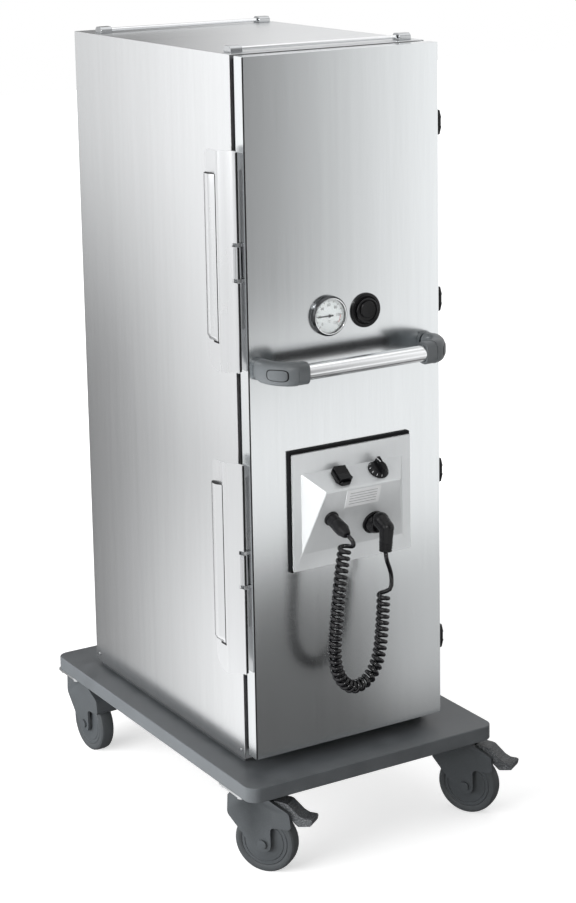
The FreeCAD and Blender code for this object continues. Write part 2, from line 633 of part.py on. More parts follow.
hood_block = hood("hood_block", 0, 0)
doc.recompute()
hood_front = size("door_y") - size("mod_out") - 1
hood_round = doc.addObject("Part::Fillet", "hood_round")
hood_round.Base = hood_block
hood_round.Edges = [(i + 1, 5.0, 5.0) for i, edge in enumerate(hood_block.Shape.Edges)
                    if edge.BoundBox.YMin < hood_front]
hood_plate = box("hood_plate", f"{mod_x} - dims.mod_wide / 2", "dims.door_y - dims.mod_out", "dims.mod_low",
                 "dims.mod_wide", 2, "dims.mod_high - dims.mod_low")
keep("module_frame", cut("module_frame", fuse("hood_solid", [hood_plate, hood_round]), [hood("hood_hollow",
                                                                                             2.4, 4)]))

lower_slope = Vector(0, size("mod_out") - size("ridge_out"), size("ridge_z") - size("hood_low")).normalize()
lower_normal = Vector(0, -lower_slope.z, lower_slope.y)
upper_slope = Vector(0, size("mod_out") - size("ridge_out"),
                     size("ridge_z") - size("hood_high")).normalize()
upper_normal = Vector(0, upper_slope.z, -upper_slope.y)


def on_slope(x, z, lower):
    """The point of the hood's lower or upper face at that x and height, about the door's face."""
    start = Vector(x, -size("mod_out"), size("hood_low") if lower else size("hood_high"))
    slope = lower_slope if lower else upper_slope
    return start + slope * ((z - start.z) / slope.z)


def tilted(label, shape, place, normal):
    """A shape drawn on XY at the origin, its own Y up the slope, put on the hood with Z along the normal."""
    across_slope = Vector(1, 0, 0)
    turn = Rotation(across_slope, normal.cross(across_slope), normal, "ZXY")
    item = solid(label, shape)
    base = place + Vector(size("cab_x"), size("door_y"), 0)
    item.Placement = Placement(base, turn)
    return keep(label, item)


rocker_at, knob_at = on_slope(-34, 766.5, False), on_slope(51, 766.5, False)
label_at, gland_at, park_at = on_slope(5.5, 726, True), on_slope(-60, 691, True), on_slope(41, 664, True)

boot = flat_face([(-17, -12), (-9, -21), (9, -21), (17, -12), (17, 12), (9, 21), (-9, 21), (-17, 12)])
boot_solid = boot.extrude(Vector(0, 0, 9)).translated(Vector(0, 0, 0.3))
boot_well = Part.makeBox(27, 35, 20, Vector(-13.5, -17.5, 3))
tilted("switch_boot", boot_solid.cut(boot_well), rocker_at, upper_normal)
# two paddles at a slight angle over a flat bar, on a round pivot across the well
rocker_pivot = 8.0
paddle_corners = ((-16.2, 9.3), (16.2, 9.3), (16.2, 14.5), (0, 11.5), (-16.2, 17), (-16.2, 9.3))
paddles = Part.Face(Part.makePolygon([Vector(-13, y, z) for y, z in paddle_corners])).extrude(Vector(26, 0,
                                                                                                     0))
rocker = paddles.fuse(Part.makeBox(26, 29, 2.5, Vector(-13, -14.5, 6.9)))
rocker = rocker.fuse(Part.makeCylinder(2, 26.6, Vector(-13.3, 0, rocker_pivot), Vector(1, 0, 0)))
tilted("switch_rocker", rocker.removeSplitter(), rocker_at, upper_normal)

skirt = Part.makeCone(21, 15.5, 9, Vector(0, 0, 1.5)).fuse(Part.makeCylinder(21, 1.2, Vector(0, 0, 0.5)))
fin = Part.makeBox(8, 32, 13, Vector(-4, -16, 9)).common(Part.makeCylinder(16, 30, Vector(0, 0, 0)))
fin = fin.fuse(Part.makeCylinder(14.5, 3, Vector(0, 0, 9)))
knob = skirt.fuse(fin).removeSplitter()
knob.rotate(Vector(0, 0, 0), Vector(0, 0, 1), 20)
tilted("thermostat_knob", knob, knob_at, upper_normal)

tilted("label_plate", Part.makeBox(77, 38, 0.7, Vector(-38.5, -19, 0.02)), label_at, lower_normal)
gland_length = 60.0
gland = Part.makeCylinder(15, 8, Vector(0, 0, 0.02)).fuse(Part.makeCylinder(12.5, gland_length - 14,
                                                                            Vector(0, 0, 6)))
gland = gland.fuse(Part.makeCone(12.5, 8.5, 8, Vector(0, 0, gland_length - 8)))
tilted("cable_gland", gland.removeSplitter(), gland_at, lower_normal)
socket = Part.makeCylinder(24, 5, Vector(0, 0, 0.02)).cut(Part.makeCylinder(20.2, 5, Vector(0, 0, 1.5)))
tilted("parking_socket", socket, park_at, lower_normal)


def plug():
    """An angled mains plug: disc in the socket, domed grip above it, body bent down to the cord."""
    seat = park_at + lower_normal * 1.6
    face = park_at + lower_normal * 8.6
    dome = park_at + lower_normal * 23 + lower_slope * 17
    elbow = Vector(42, -70, 663)
    end = Vector(37, -73, 617)
    shape = Part.makeCylinder(20, 8, seat, lower_normal)
    shape = shape.fuse(Part.makeCone(19, 15, 12, face, lower_normal + lower_slope * 0.35))
    shape = shape.fuse(Part.makeSphere(16.5, dome))
    shape = shape.fuse(Part.makeCone(16, 14.5, dome.distanceToPoint(elbow), dome, elbow - dome))
    shape = shape.fuse(Part.makeSphere(14.8, elbow))
    shape = shape.fuse(Part.makeCone(14.6, 11.5, elbow.distanceToPoint(end), elbow, end - elbow))
    return shape.removeSplitter(), end


plug_shape, plug_end = plug()
plug_exit = (Vector(42, -70, 663) - plug_end).normalize()
keep("plug", solid("plug", plug_shape.translated(Vector(size("cab_x"), size("door_y"), 0))))

# fan heater behind the plate, reaching into the compartment
fan_back = 44.0
cover_outer = Part.makeBox(200, fan_back + 40, 196, Vector(-100, 0, 607)).cut(Part.makeBox(240, 30.1, 240,
                                                                                           Vector(-120, 0,
                                                                                                  590)))
cover_inner = Part.makeBox(197.6, 80, 193.6, Vector(-98.8, 2.8, 608.2))
cover = cover_outer.cut(cover_inner)
rim = Part.makeBox(216, 1.2, 212, Vector(-108, 30.1, 599)).cut(Part.makeBox(197.6, 4, 193.6, Vector(-98.8,
                                                                                                    29,
                                                                                                    608.2)))
cover = cover.fuse(rim)
for row in range(-4, 5):
    for column in range(-4, 5):
        if row * row + column * column <= 18:
            slot = Part.makeCylinder(5, 20, Vector(column * 16, 70, size("fan_z") + row * 16), Vector(0, 1,
                                                                                                      0))
            cover = cover.cut(slot)
for row in range(4):
    cover = cover.cut(Part.makeBox(240, 10, 8, Vector(-120, 62, 640 + row * 34)))
keep("fan_cover", solid("fan_cover", to_module(cover)))
motor = Part.makeCylinder(24, 62, Vector(0, -22, size("fan_z")), Vector(0, 1, 0))
motor = motor.fuse(Part.makeCylinder(3, 22, Vector(0, 38, size("fan_z")), Vector(0, 1, 0)))
motor = motor.fuse(Part.makeBox(204, 2, 24, Vector(-102, 24, size("fan_z") - 12)))
keep("fan_motor", solid("fan_motor", to_module(motor)))
fan = Part.makeCylinder(10, 16, Vector(0, 45, size("fan_z")), Vector(0, 1, 0))
fan = fan.fuse(Part.makeCylinder(52, 1.5, Vector(0, 45, size("fan_z")), Vector(0, 1, 0)))
blade = Part.makeBox(18, 16, 2, Vector(34, 45, size("fan_z") - 1))
for i in range(16):
    turned_blade = blade.copy()
    turned_blade.rotate(Vector(0, 0, size("fan_z")), Vector(0, 1, 0), i * 22.5)
    fan = fan.fuse(turned_blade)
fan = fan.cut(Part.makeCylinder(3.05, 40, Vector(0, 40, size("fan_z")), Vector(0, 1, 0)))
keep("fan_wheel", solid("fan_wheel", to_module(fan)))
heater = Part.makeTorus(68, 4, Vector(0, 56, size("fan_z")), Vector(0, 1, 0))
heater = heater.fuse(Part.makeCylinder(4, 28, Vector(-68, 28, size("fan_z")), Vector(0, 1, 0)))
keep("heater_ring", solid("heater_ring", to_module(heater)))

# latches
latch_x = "dims.cab_x - dims.latch_out"
latch_y = "dims.door_y + dims.latch_deep"


def latch_lever(label, middle):
    """A long pressed lever in plan about its pivot: eye, slanted web, flange with a grip bulge, and a hook."""
    web = prism(f"{label}_web", "XY_Plane", [
        (-5.2, -5.5), (-3.2, -6.5), (-4, 2), (-25.5, 22.5, 3), (-25.5, 66), (-27.5, 66), (-27.5, 21.5, 3)],
        "dims.latch_tall")
    bind(web, x=latch_x, y=latch_y, z=f"{middle} - dims.latch_tall / 2")
    tall = size("latch_tall")
    corner_cuts = [
        prism(f"{label}_corner_top", "YZ_Plane", [
            (54, tall), (66, tall, 12), (66, tall - 12), (67, tall - 12), (67, tall + 1), (54, tall + 1)],
            "20"),
        prism(f"{label}_corner_low", "YZ_Plane", [
            (31, 0), (66, 0, 35), (66, 35), (67, 35), (67, -1), (31, -1)], "20"),
    ]
    for piece in corner_cuts:
        bind(piece, x=f"{latch_x} - 40", y=latch_y, z=f"{middle} - dims.latch_tall / 2")
    bulge_shape = prism(f"{label}_bulge", "XY_Plane", [
        (-27.4, 30), (-30, 30, 2), (-36, 38, 8), (-36, 58, 8), (-30, 66, 2), (-27.4, 66)],
        "dims.latch_tall - 92")
    bind(bulge_shape, x=latch_x, y=latch_y, z=f"{middle} - dims.latch_tall / 2 + 46")
    bulge_room = prism(f"{label}_hollow", "XY_Plane", [
        (-24, 32), (-29, 32, 2), (-34.4, 39, 7), (-34.4, 57, 7), (-29, 64, 2), (-24, 64)],
        "dims.latch_tall - 94")
    bind(bulge_room, x=latch_x, y=latch_y, z=f"{middle} - dims.latch_tall / 2 + 47")
    eye = rod(f"{label}_eye", latch_x, latch_y, f"{middle} - 30", 6, "60")
    neck = box(f"{label}_neck", f"{latch_x} - 8", f"{latch_y} - 4", f"{middle} - 30", "8", "7", "60")
    hook = prism(f"{label}_hook", "XY_Plane", [
        (-24, 21), (-24, 42, 2), (0.8, 42, 2), (0.8, 38), (-20, 38, 2), (-20, 17)], "24")
    bind(hook, x=latch_x, y=latch_y, z=f"{middle} - 12")
    rooms = [rod(f"{label}_bore", latch_x, latch_y, f"{middle} - 40", 3.05, "80")]
    rooms += [rod(f"{label}_room_{i}", latch_x, latch_y, f"{middle} + {dz}", 9.4, "7") for i,
              dz in enumerate((-37, 30))]
    whole = fuse(f"{label}_solid", [cut(f"{label}_sheet", fuse(f"{label}_pressed", [web, bulge_shape]),
                                        [bulge_room] + corner_cuts),
                                    eye, neck, hook])
    keep(label, cut(label, whole, rooms))


latch_lever("latch_lever_upper", "dims.latch_high")
latch_lever("latch_lever_lower", "dims.latch_lowz")

latch_plates, strikes = [], []
for i, middle in enumerate(("dims.latch_high", "dims.latch_lowz")):
    back_plate = box(f"latch_plate_{i}", f"dims.cab_x - {half_cab} - 1.6", "dims.door_y + 4",
                     f"{middle} - dims.latch_tall / 2 + 4", "1.58", "24", "dims.latch_tall - 8")
    lugs = [box(f"latch_lug_{i}_{j}", f"{latch_x} - 4", f"{latch_y} - 6", f"{middle} + {dz}", "10.5", "12",
                "6")
            for j, dz in enumerate((-36.4, 30.4))]
    pin = rod(f"latch_pin_{i}", latch_x, latch_y, f"{middle} - 36", 3, "72")
    latch_plates.append(fuse(f"latch_base_{i}", [back_plate, pin] + lugs))
    foot = box(f"strike_foot_{i}", f"dims.cab_x - {half_cab} - 2", "dims.door_y + 50", f"{middle} - 26",
               "1.98", "40", "52")
    lip = box(f"strike_lip_{i}", f"dims.cab_x - {half_cab} - 6.4", "dims.door_y + 50", f"{middle} - 26",
              "5", "2.4", "52")
    strikes.append(fuse(f"strike_{i}", [foot, lip]))
keep("latch_bases", group("latch_bases", latch_plates))
keep("latch_strikes", group("latch_strikes", strikes))

# curly cord
gland_tip = gland_at + lower_normal * gland_length
# the line that the curls follow, from the gland's side round to the plug's side, about the door's face
COIL_ROUTE = [
    (-64.5, -88, 651), (-71.5, -87, 610), (-77.5, -85, 556), (-82.5, -83, 502), (-86, -81, 458), (-84, -79,
                                                                                                  418),
    (-72, -77, 384), (-45, -75, 359), (-13, -73, 363), (12, -71, 386), (25, -69, 420), (31, -67, 460),
    (35, -66, 500), (37, -65, 529.5),
]
# from the gland to the first curl and from the last curl to the plug: (point, direction)
LEAD_IN = [
    (gland_tip, lower_normal),
    (gland_tip + lower_normal * 8, lower_normal),
    (Vector(-57.5, -107, 660), Vector(0.25, 0.0, -1.0)),
]
LEAD_OUT = [
    (Vector(56.5, -64, 551), Vector(-0.02, -0.08, 1.0)),
    (Vector(50, -68, 583), Vector(-0.28, -0.1, 1.0)),
    (plug_end - plug_exit * 8, plug_exit),
    (plug_end, plug_exit),
]


def quadratic(points):
    """A clamped quadratic spline with those poles."""
    count = len(points)
    inner = list(range(1, count - 2))
    knots = [0] + inner + [count - 2]
    mults = [3] + [1] * len(inner) + [3]
    curve = Part.BSplineCurve()
    curve.buildFromPolesMultsKnots([Vector(*p) for p in points], mults, knots, False, 2)
    return curve


def curl_points(per_curl):
    """Points and directions along the curls, which wind left-handed about the coil's route."""
    route = quadratic(COIL_ROUTE)
    length, curls = route.length(), int(size("curls"))
    radius = (size("curl_dia") - size("cord_dia")) / 2
    side = Vector(0, -1, 0)
    total = curls + 0.25
    found = []
    for i in range(int(round(total * per_curl)) + 1):
        along = i / per_curl / total
        at = route.parameterAtDistance(along * length)
        centre, run = route.value(at), Vector(*route.tangent(at)[0]).normalize()
        outward = (side - run * side.dot(run)).normalize()
        right = outward.cross(run)
        angle = 2 * math.pi * i / per_curl
        away = right * math.cos(angle) - outward * math.sin(angle)
        spin = (right * -math.sin(angle) - outward * math.cos(angle)) * (2 * math.pi * radius * total / length)
        found.append((centre + away * radius, (run + spin).normalize()))
    return found


def arc_to(start, heading, end):
    """The arc from start, along heading, to end, and its heading there."""
    chord = end - start
    heading = Vector(heading).normalize()
    cosine = heading.dot(chord) / chord.Length
    new_heading = (chord * (2 * cosine / chord.Length) - heading).normalize()
    if cosine > 1 - 1e-9:
        return Part.LineSegment(start, end).toShape(), new_heading, float("inf")
    radius = chord.Length / (2 * math.sqrt(max(1 - cosine * cosine, 1e-12)))
    normal = heading.cross(chord).normalize()
    centre = start + normal.cross(heading) * radius
    bisector = (start + end) / 2 - centre
    if bisector.Length < 1e-6:
        bisector = heading
    middle = centre + bisector.normalize() * radius * (1 if cosine > 0 else -1)
    return Part.Arc(start, middle, end).toShape(), new_heading, radius


def biarc(start, first, end, last):
    """Two tangent arcs from start to end with those directions."""
    first, last = Vector(first).normalize(), Vector(last).normalize()
    gap, both = end - start, first + last
    a = 2 * (1 - first.dot(last))
    b = 2 * gap.dot(both)
    c = -gap.dot(gap)
    if abs(a) < 1e-9:
        reach = -c / b
    else:
        reach = (-b + math.sqrt(b * b - 4 * a * c)) / (2 * a)
    joint = (start + first * reach + end - last * reach) / 2
    edge_a, heading, radius_a = arc_to(start, first, joint)
    edge_b, _, radius_b = arc_to(joint, heading, end)
    return [edge_a, edge_b], (radius_a, radius_b)


stations = LEAD_IN + curl_points(2) + LEAD_OUT
edges, radii = [], []
for (start, first), (end, last) in zip(stations, stations[1:]):
    straight = (end - start).normalize()
    if straight.dot(Vector(first).normalize()) > 1 - 1e-7:
        edges.append(Part.LineSegment(start, end).toShape())
        continue
    pair, pair_radii = biarc(start, first, end, last)
    edges += pair
    radii += pair_radii
path = Part.Wire(edges)
print("cord: length", round(path.Length), "tightest arc", round(min(radii), 2), "arcs", len(radii))

walk = path.discretize(Distance=2.0)
steps = [Vector(p) for p in walk]
skip = int(size("cord_dia") * 2.2 / 2.0)
least = min(
    steps[i].distanceToPoint(steps[j])
    for i in range(len(steps))
    for j in range(i + skip, min(len(steps), i + 90))
)
print("cord: least gap to itself", round(least - size("cord_dia"), 2))

ring = Part.Wire(Part.Circle(gland_tip, lower_normal, size("cord_dia") / 2).toShape())
tube = Part.BRepOffsetAPI.MakePipeShell(path)
tube.add(ring)
tube.build()
tube.makeSolid()
cord_shape = tube.shape()
expected = math.pi * (size("cord_dia") / 2) ** 2 * path.Length
print("cord: volume over section times length", round(cord_shape.Volume / expected, 4))
keep("curly_cord", solid("curly_cord", cord_shape.translated(Vector(size("cab_x"), size("door_y"), 0))))

# check and write
doc.recompute()
for item in doc.Objects:
    bad = {"Invalid", "Error"} & set(item.State)
    if bad:
        raise RuntimeError(f"{item.Name} ({item.Label}) is {bad}")
for label, item in nodes.items():
    shape = item.Shape
    if shape.isNull() or not shape.isValid():
        raise RuntimeError(f"{label} has no valid shape")
    if not shape.Solids:
        raise RuntimeError(f"{label} has no solid")

everything = FreeCAD.BoundBox()
for label, item in nodes.items():
    if label not in ("curly_cord", "plug"):
        everything.add(item.Shape.optimalBoundingBox())
print("box without the cord", [round(v, 2) for v in (everything.XMin, everything.XMax, everything.YMin,
                                                     everything.YMax, everything.ZMin, everything.ZMax)])
print("sub-parts", len(nodes), "solids", sum(len(item.Shape.Solids) for item in nodes.values()))

os.makedirs("parts", exist_ok=True)
for label, item in nodes.items():
    item.Shape.exportStep(os.path.join("parts", label + ".step"))
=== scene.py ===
import bpy
import bmesh
import json
import math
from mathutils import Matrix, Vector


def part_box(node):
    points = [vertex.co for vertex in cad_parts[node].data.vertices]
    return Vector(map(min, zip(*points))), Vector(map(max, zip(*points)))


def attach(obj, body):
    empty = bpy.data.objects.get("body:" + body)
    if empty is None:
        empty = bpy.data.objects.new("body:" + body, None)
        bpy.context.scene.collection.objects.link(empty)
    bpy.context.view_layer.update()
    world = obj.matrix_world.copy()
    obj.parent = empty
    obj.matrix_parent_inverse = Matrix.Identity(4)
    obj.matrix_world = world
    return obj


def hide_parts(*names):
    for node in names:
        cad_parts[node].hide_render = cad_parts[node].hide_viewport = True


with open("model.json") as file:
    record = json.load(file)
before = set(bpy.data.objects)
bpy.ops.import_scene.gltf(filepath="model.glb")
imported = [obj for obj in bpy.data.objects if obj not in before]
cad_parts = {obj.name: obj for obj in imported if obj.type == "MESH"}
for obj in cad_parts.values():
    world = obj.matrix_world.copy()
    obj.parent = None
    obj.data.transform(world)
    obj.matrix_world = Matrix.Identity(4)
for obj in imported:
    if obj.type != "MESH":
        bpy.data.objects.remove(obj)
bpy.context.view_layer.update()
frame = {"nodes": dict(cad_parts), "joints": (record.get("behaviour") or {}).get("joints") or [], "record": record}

nodes = frame["nodes"]
bodyOfNode = {node: body for body, members in frame["record"]["behaviour"]["bodies"].items() for node in members}
scene = bpy.context.scene
mm = 0.001

# the door's frame of reference: the middle of the cabinet in x, the face of the door in y
doorLow, doorHigh = [Vector(v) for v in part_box("door_skin")]
cabX = (doorLow.x + doorHigh.x) / 2
faceY = doorLow.y
skyward, frontward = Vector((0, 0, 1)), Vector((0, -1, 0))


def doorPoint(x, y, z):
    return Vector((cabX + x * mm, faceY + y * mm, z * mm))


# the camera stands where the photograph was taken from; the place is in mm from the door's foot
photoCamera = {"width": 576, "height": 903, "focalPixels": 2198.87, "centreX": 288.0, "centreY": 271.0,
               "yaw": 31.11, "pitch": 11.253, "roll": -1.026, "place": (-2194.1, -3427.4, 1969.1),
               "sensor": 36.0, "seesTo": 60}


def makeCamera(c):
    data = bpy.data.cameras.new("photoCamera")
    data.sensor_fit = "VERTICAL"
    data.sensor_height = c["sensor"]
    data.lens = c["focalPixels"] / c["height"] * c["sensor"]
    data.shift_x = (c["width"] / 2 - c["centreX"]) / c["height"]
    data.shift_y = (c["centreY"] - c["height"] / 2) / c["height"]
    data.clip_end = c["seesTo"]
    yaw, pitch, roll = (math.radians(c[k]) for k in ("yaw", "pitch", "roll"))
    forward = Vector((math.sin(yaw) * math.cos(pitch), math.cos(yaw) * math.cos(pitch), -math.sin(pitch)))
    right = Vector((math.cos(yaw), -math.sin(yaw), 0))
    turn = Matrix((right, right.cross(forward), -forward)).transposed() @ Matrix.Rotation(roll, 3, "Z")
    camera = bpy.data.objects.new("photoCamera", data)
    camera.matrix_world = Matrix.Translation(doorPoint(*c["place"])) @ turn.to_4x4()
    scene.collection.objects.link(camera)
    scene.camera = camera


makeCamera(photoCamera)
print("camera placed")

cadCleaning = {"mergeWithin": 3e-6, "flatWithin": 0.6}  # metres and degrees


def addObject(name, mesh):
    piece = bpy.data.objects.new(name, mesh)
    scene.collection.objects.link(piece)
    return piece


def meshFrom(name, vertices, faces):
    mesh = bpy.data.meshes.new(name)
    mesh.from_pydata([tuple(v) for v in vertices], [], faces)
    mesh.update()
    return mesh


def inMaterial(mesh, material):
    mesh.materials.append(material)
    return mesh


def smoothByAngle(mesh, angle=35):
    mesh.shade_smooth()
    mesh.set_sharp_from_angle(angle=math.radians(angle))


def addBevel(piece, width, segments=3, angle=35):
    bevel = piece.modifiers.new("edges", "BEVEL")
    bevel.width = width * mm
    bevel.segments = segments
    bevel.limit_method = "ANGLE"
    bevel.angle_limit = math.radians(angle)
    bevel.harden_normals = True


def mergedCopy(nodeName):
    mesh = nodes[nodeName].data.copy()
    work = bmesh.new()
    work.from_mesh(mesh)
    bmesh.ops.remove_doubles(work, verts=work.verts, dist=cadCleaning["mergeWithin"])
    bmesh.ops.dissolve_limit(work, angle_limit=math.radians(cadCleaning["flatWithin"]), verts=work.verts,
                             edges=work.edges)
    work.to_mesh(mesh)
    work.free()
    mesh.materials.clear()
    return mesh


def settle(piece, nodeName):
    # the piece stands for that node and moves with its body
    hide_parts(nodeName)
    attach(piece, bodyOfNode[nodeName])
    return piece


def addRider(name, mesh, body):
    # a piece of its own that moves with that body
    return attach(addObject(name, mesh), body)


def dress(nodeName, material, width=0.0, segments=3, angle=35):
    # the node's own shape with merged faces, a material and softened edges
    piece = addObject(nodeName + "_finished", inMaterial(mergedCopy(nodeName), material))
    smoothByAngle(piece.data, angle)
    if width:
        addBevel(piece, width, segments, angle)
    return settle(piece, nodeName)


def dressTwoTone(nodeName, material, width, segments, other, isOther):
    # as dress, with a second material on the faces whose normal says so
    piece = dress(nodeName, material, width, segments)
    piece.data.materials.append(other)
    for face in piece.data.polygons:
        if isOther(face.normal):
            face.material_index = 1


def paint(nodeName, material):
    node = nodes[nodeName]
    node.data.materials.clear()
    node.data.materials.append(material)


def ringFaces(rings, sides):
    # the quads between rings of that many points, and a cap at each end
    faces = []
    for i in range(rings - 1):
        for k in range(sides):
            a, b = i * sides + k, i * sides + (k + 1) % sides
            faces.append((a, b, b + sides, a + sides))
    faces.append(tuple(range(sides - 1, -1, -1)))
    faces.append(tuple((rings - 1) * sides + k for k in range(sides)))
    return faces


def tubeAlong(name, points, radius, sides):
    vertices = []
    last = len(points) - 1
    runs = [(points[min(i + 1, last)] - points[max(i - 1, 0)]).normalized() for i in range(last + 1)]
    across = runs[0].orthogonal().normalized()
    for point, run in zip(points, runs):
        across = (across - run * across.dot(run)).normalized()
        side = run.cross(across)
        for k in range(sides):
            a = 2 * math.pi * k / sides
            vertices.append(point + (across * math.cos(a) + side * math.sin(a)) * radius)
    mesh = meshFrom(name, vertices, ringFaces(last + 1, sides))
    mesh.shade_smooth()
    return mesh


def facedOutwards(mesh, smoothAngle, mergeWithin=None):
    work = bmesh.new()
    work.from_mesh(mesh)
    if mergeWithin:
        bmesh.ops.remove_doubles(work, verts=work.verts, dist=mergeWithin)
    bmesh.ops.recalc_face_normals(work, faces=work.faces)
    work.to_mesh(mesh)
    work.free()
    smoothByAngle(mesh, smoothAngle)
    return mesh


def latheMesh(name, profile, segments=64):
    # a profile of (radius, height) in mm, turned about Z; a radius of zero is a point on the axis
    vertices, faces, rings = [], [], []
    for radius, height in profile:
        if radius == 0:
            rings.append([len(vertices)])
            vertices.append((0, 0, height * mm))
            continue
        rings.append(list(range(len(vertices), len(vertices) + segments)))
        for k in range(segments):
            a = 2 * math.pi * k / segments
            vertices.append((radius * mm * math.cos(a), radius * mm * math.sin(a), height * mm))
    for low, high in zip(rings, rings[1:]):
        for k in range(segments):
            n = (k + 1) % segments
            if len(low) == 1:
                faces.append((low[0], high[n], high[k]))
            elif len(high) == 1:
                faces.append((low[k], low[n], high[0]))
            else:
                faces.append((low[k], low[n], high[n], high[k]))
    return facedOutwards(meshFrom(name, vertices, faces), 30, mergeWithin=1e-6)


def prismMesh(name, corners, low, high):
    n = len(corners)
    vertices = [(x * mm, y * mm, z * mm) for z in (low, high) for x, y in corners]
    faces = [tuple(range(n - 1, -1, -1)), tuple(range(n, 2 * n))]
    faces += [(k, (k + 1) % n, n + (k + 1) % n, n + k) for k in range(n)]
    return meshFrom(name, vertices, faces)


def joinedMesh(name, meshes):
    # several meshes as one, each keeping its material
    work = bmesh.new()
    materials = []
    for mesh in meshes:
        offset = len(materials)
        before = len(work.faces)
        work.from_mesh(mesh)
        work.faces.ensure_lookup_table()
        for face in work.faces[before:]:
            face.material_index += offset
        materials += list(mesh.materials) or [None]
    result = bpy.data.meshes.new(name)
    work.to_mesh(result)
    work.free()
    for material in materials:
        result.materials.append(material)
    return result


def loftMesh(name, rings):
    # a skin over rings that have the same number of points
    mesh = meshFrom(name, [p for ring in rings for p in ring], ringFaces(len(rings), len(rings[0])))
    return facedOutwards(mesh, 40)


def bakedMesh(piece, name):
    # what the piece looks like with its modifiers on, as a plain mesh
    bpy.context.view_layer.update()
    mesh = bpy.data.meshes.new_from_object(piece.evaluated_get(bpy.context.evaluated_depsgraph_get()))
    mesh.name = name
    return mesh


def textMesh(words, height, depth, material):
    # small print, standing up from the XY plane and centred on it
    curve = bpy.data.curves.new("print", "FONT")
    curve.body = words
    curve.size = height * 1.38 * mm  # a font's size for figures of that height
    curve.extrude = depth / 2 * mm
    curve.align_x, curve.align_y = "CENTER", "CENTER"
    holder = addObject("print", curve)
    mesh = bakedMesh(holder, "print")
    bpy.data.objects.remove(holder)
    mesh.materials.clear()
    return inMaterial(mesh, material)


def frameOf(normal, upwards=skyward):
    # a turn that brings Z to the normal and Y as near as it can to upwards
    zAxis = normal.normalized()
    yAxis = (upwards - zAxis * upwards.dot(zAxis)).normalized()
    return Matrix((yAxis.cross(zAxis), yAxis, zAxis)).transposed().to_4x4()


def placed(mesh, place, turn=Matrix.Identity(4)):
    mesh.transform(Matrix.Translation(place) @ turn)
    return mesh


def newGroup(name, inputs, outputs):
    tree = bpy.data.node_groups.new(name, "ShaderNodeTree")
    for label, kind, value in inputs:
        tree.interface.new_socket(label, in_out="INPUT", socket_type=kind).default_value = value
    for label, kind in outputs:
        tree.interface.new_socket(label, in_out="OUTPUT", socket_type=kind)
    return tree, tree.nodes.new("NodeGroupInput").outputs, tree.nodes.new("NodeGroupOutput").inputs


def addNode(tree, kind, **settings):
    node = tree.nodes.new(kind)
    for key, value in settings.items():
        setattr(node, key, value)
    return node


def feed(tree, node, **values):
    # each named input gets a fixed value or another node's output; an underscore in a name stands for a space
    for key, value in values.items():
        socket = node.inputs[key.replace("_", " ")]
        if isinstance(value, bpy.types.NodeSocket):
            tree.links.new(value, socket)
        else:
            socket.default_value = value
    return node


def mathNode(tree, operation, *values, clamp=False):
    node = addNode(tree, "ShaderNodeMath", operation=operation, use_clamp=clamp)
    for socket, value in zip(node.inputs, values):
        if isinstance(value, bpy.types.NodeSocket):
            tree.links.new(value, socket)
        else:
            socket.default_value = value
    return node.outputs[0]


def plus(tree, a, b):
    return mathNode(tree, "ADD", a, b)


def times(tree, a, b, clamp=False):
    return mathNode(tree, "MULTIPLY", a, b, clamp=clamp)


def rangeNode(tree, value, low, high, outLow, outHigh):
    node = addNode(tree, "ShaderNodeMapRange", clamp=True)
    feed(tree, node, Value=value, From_Min=low, From_Max=high, To_Min=outLow, To_Max=outHigh)
    return node.outputs["Result"]


def stretchedNoise(tree, vector, scale, detail, stretch=(1, 1, 1)):
    mapping = feed(tree, addNode(tree, "ShaderNodeMapping"), Scale=stretch, Vector=vector)
    noise = addNode(tree, "ShaderNodeTexNoise", noise_dimensions="3D")
    return feed(tree, noise, Scale=scale, Detail=detail, Vector=mapping.outputs[0]).outputs["Fac"]


def colourMix(tree, factor, a, b, **settings):
    mix = addNode(tree, "ShaderNodeMix", data_type="RGBA", **settings)
    return feed(tree, mix, Factor=factor, A=a, B=b).outputs["Result"]


def greyColour(tree, level):
    return feed(tree, addNode(tree, "ShaderNodeCombineColor"), Red=level, Green=level, Blue=level).outputs[0]


def separate(tree, vector):
    return feed(tree, addNode(tree, "ShaderNodeSeparateXYZ"), Vector=vector).outputs


def objectPlace(tree):
    return addNode(tree, "ShaderNodeTexCoord").outputs["Object"]


def floatInputs(**values):
    return [(label.replace("_", " "), "NodeSocketFloat", value) for label, value in values.items()]


def makeBrushedGroup():
    # fine lines along Z, wider bands and wiped patches
    tree, source, sink = newGroup(
        "brushedGrain",
        [("Vector", "NodeSocketVector", (0, 0, 0))]
        + floatInputs(Line_Scale=900.0, Rough_Low=0.24, Rough_High=0.36),
        [(label, "NodeSocketFloat") for label in ("Tone", "Roughness", "Height")])
    vector = source["Vector"]
    lines = stretchedNoise(tree, vector, source["Line Scale"], 3.0, (1.0, 1.0, 0.012))
    bands = stretchedNoise(tree, vector, 60.0, 4.0, (1.0, 1.0, 0.03))
    wiped = stretchedNoise(tree, vector, 5.0, 3.0, (1.0, 1.0, 0.55))
    mixed = plus(tree, times(tree, bands, 0.3), times(tree, wiped, 0.7))
    tree.links.new(plus(tree, times(tree, lines, 0.5), times(tree, bands, 0.5)), sink["Tone"])
    tree.links.new(rangeNode(tree, mixed, 0.3, 0.7, source["Rough Low"], source["Rough High"]), sink["Roughness"])
    tree.links.new(lines, sink["Height"])
    return tree


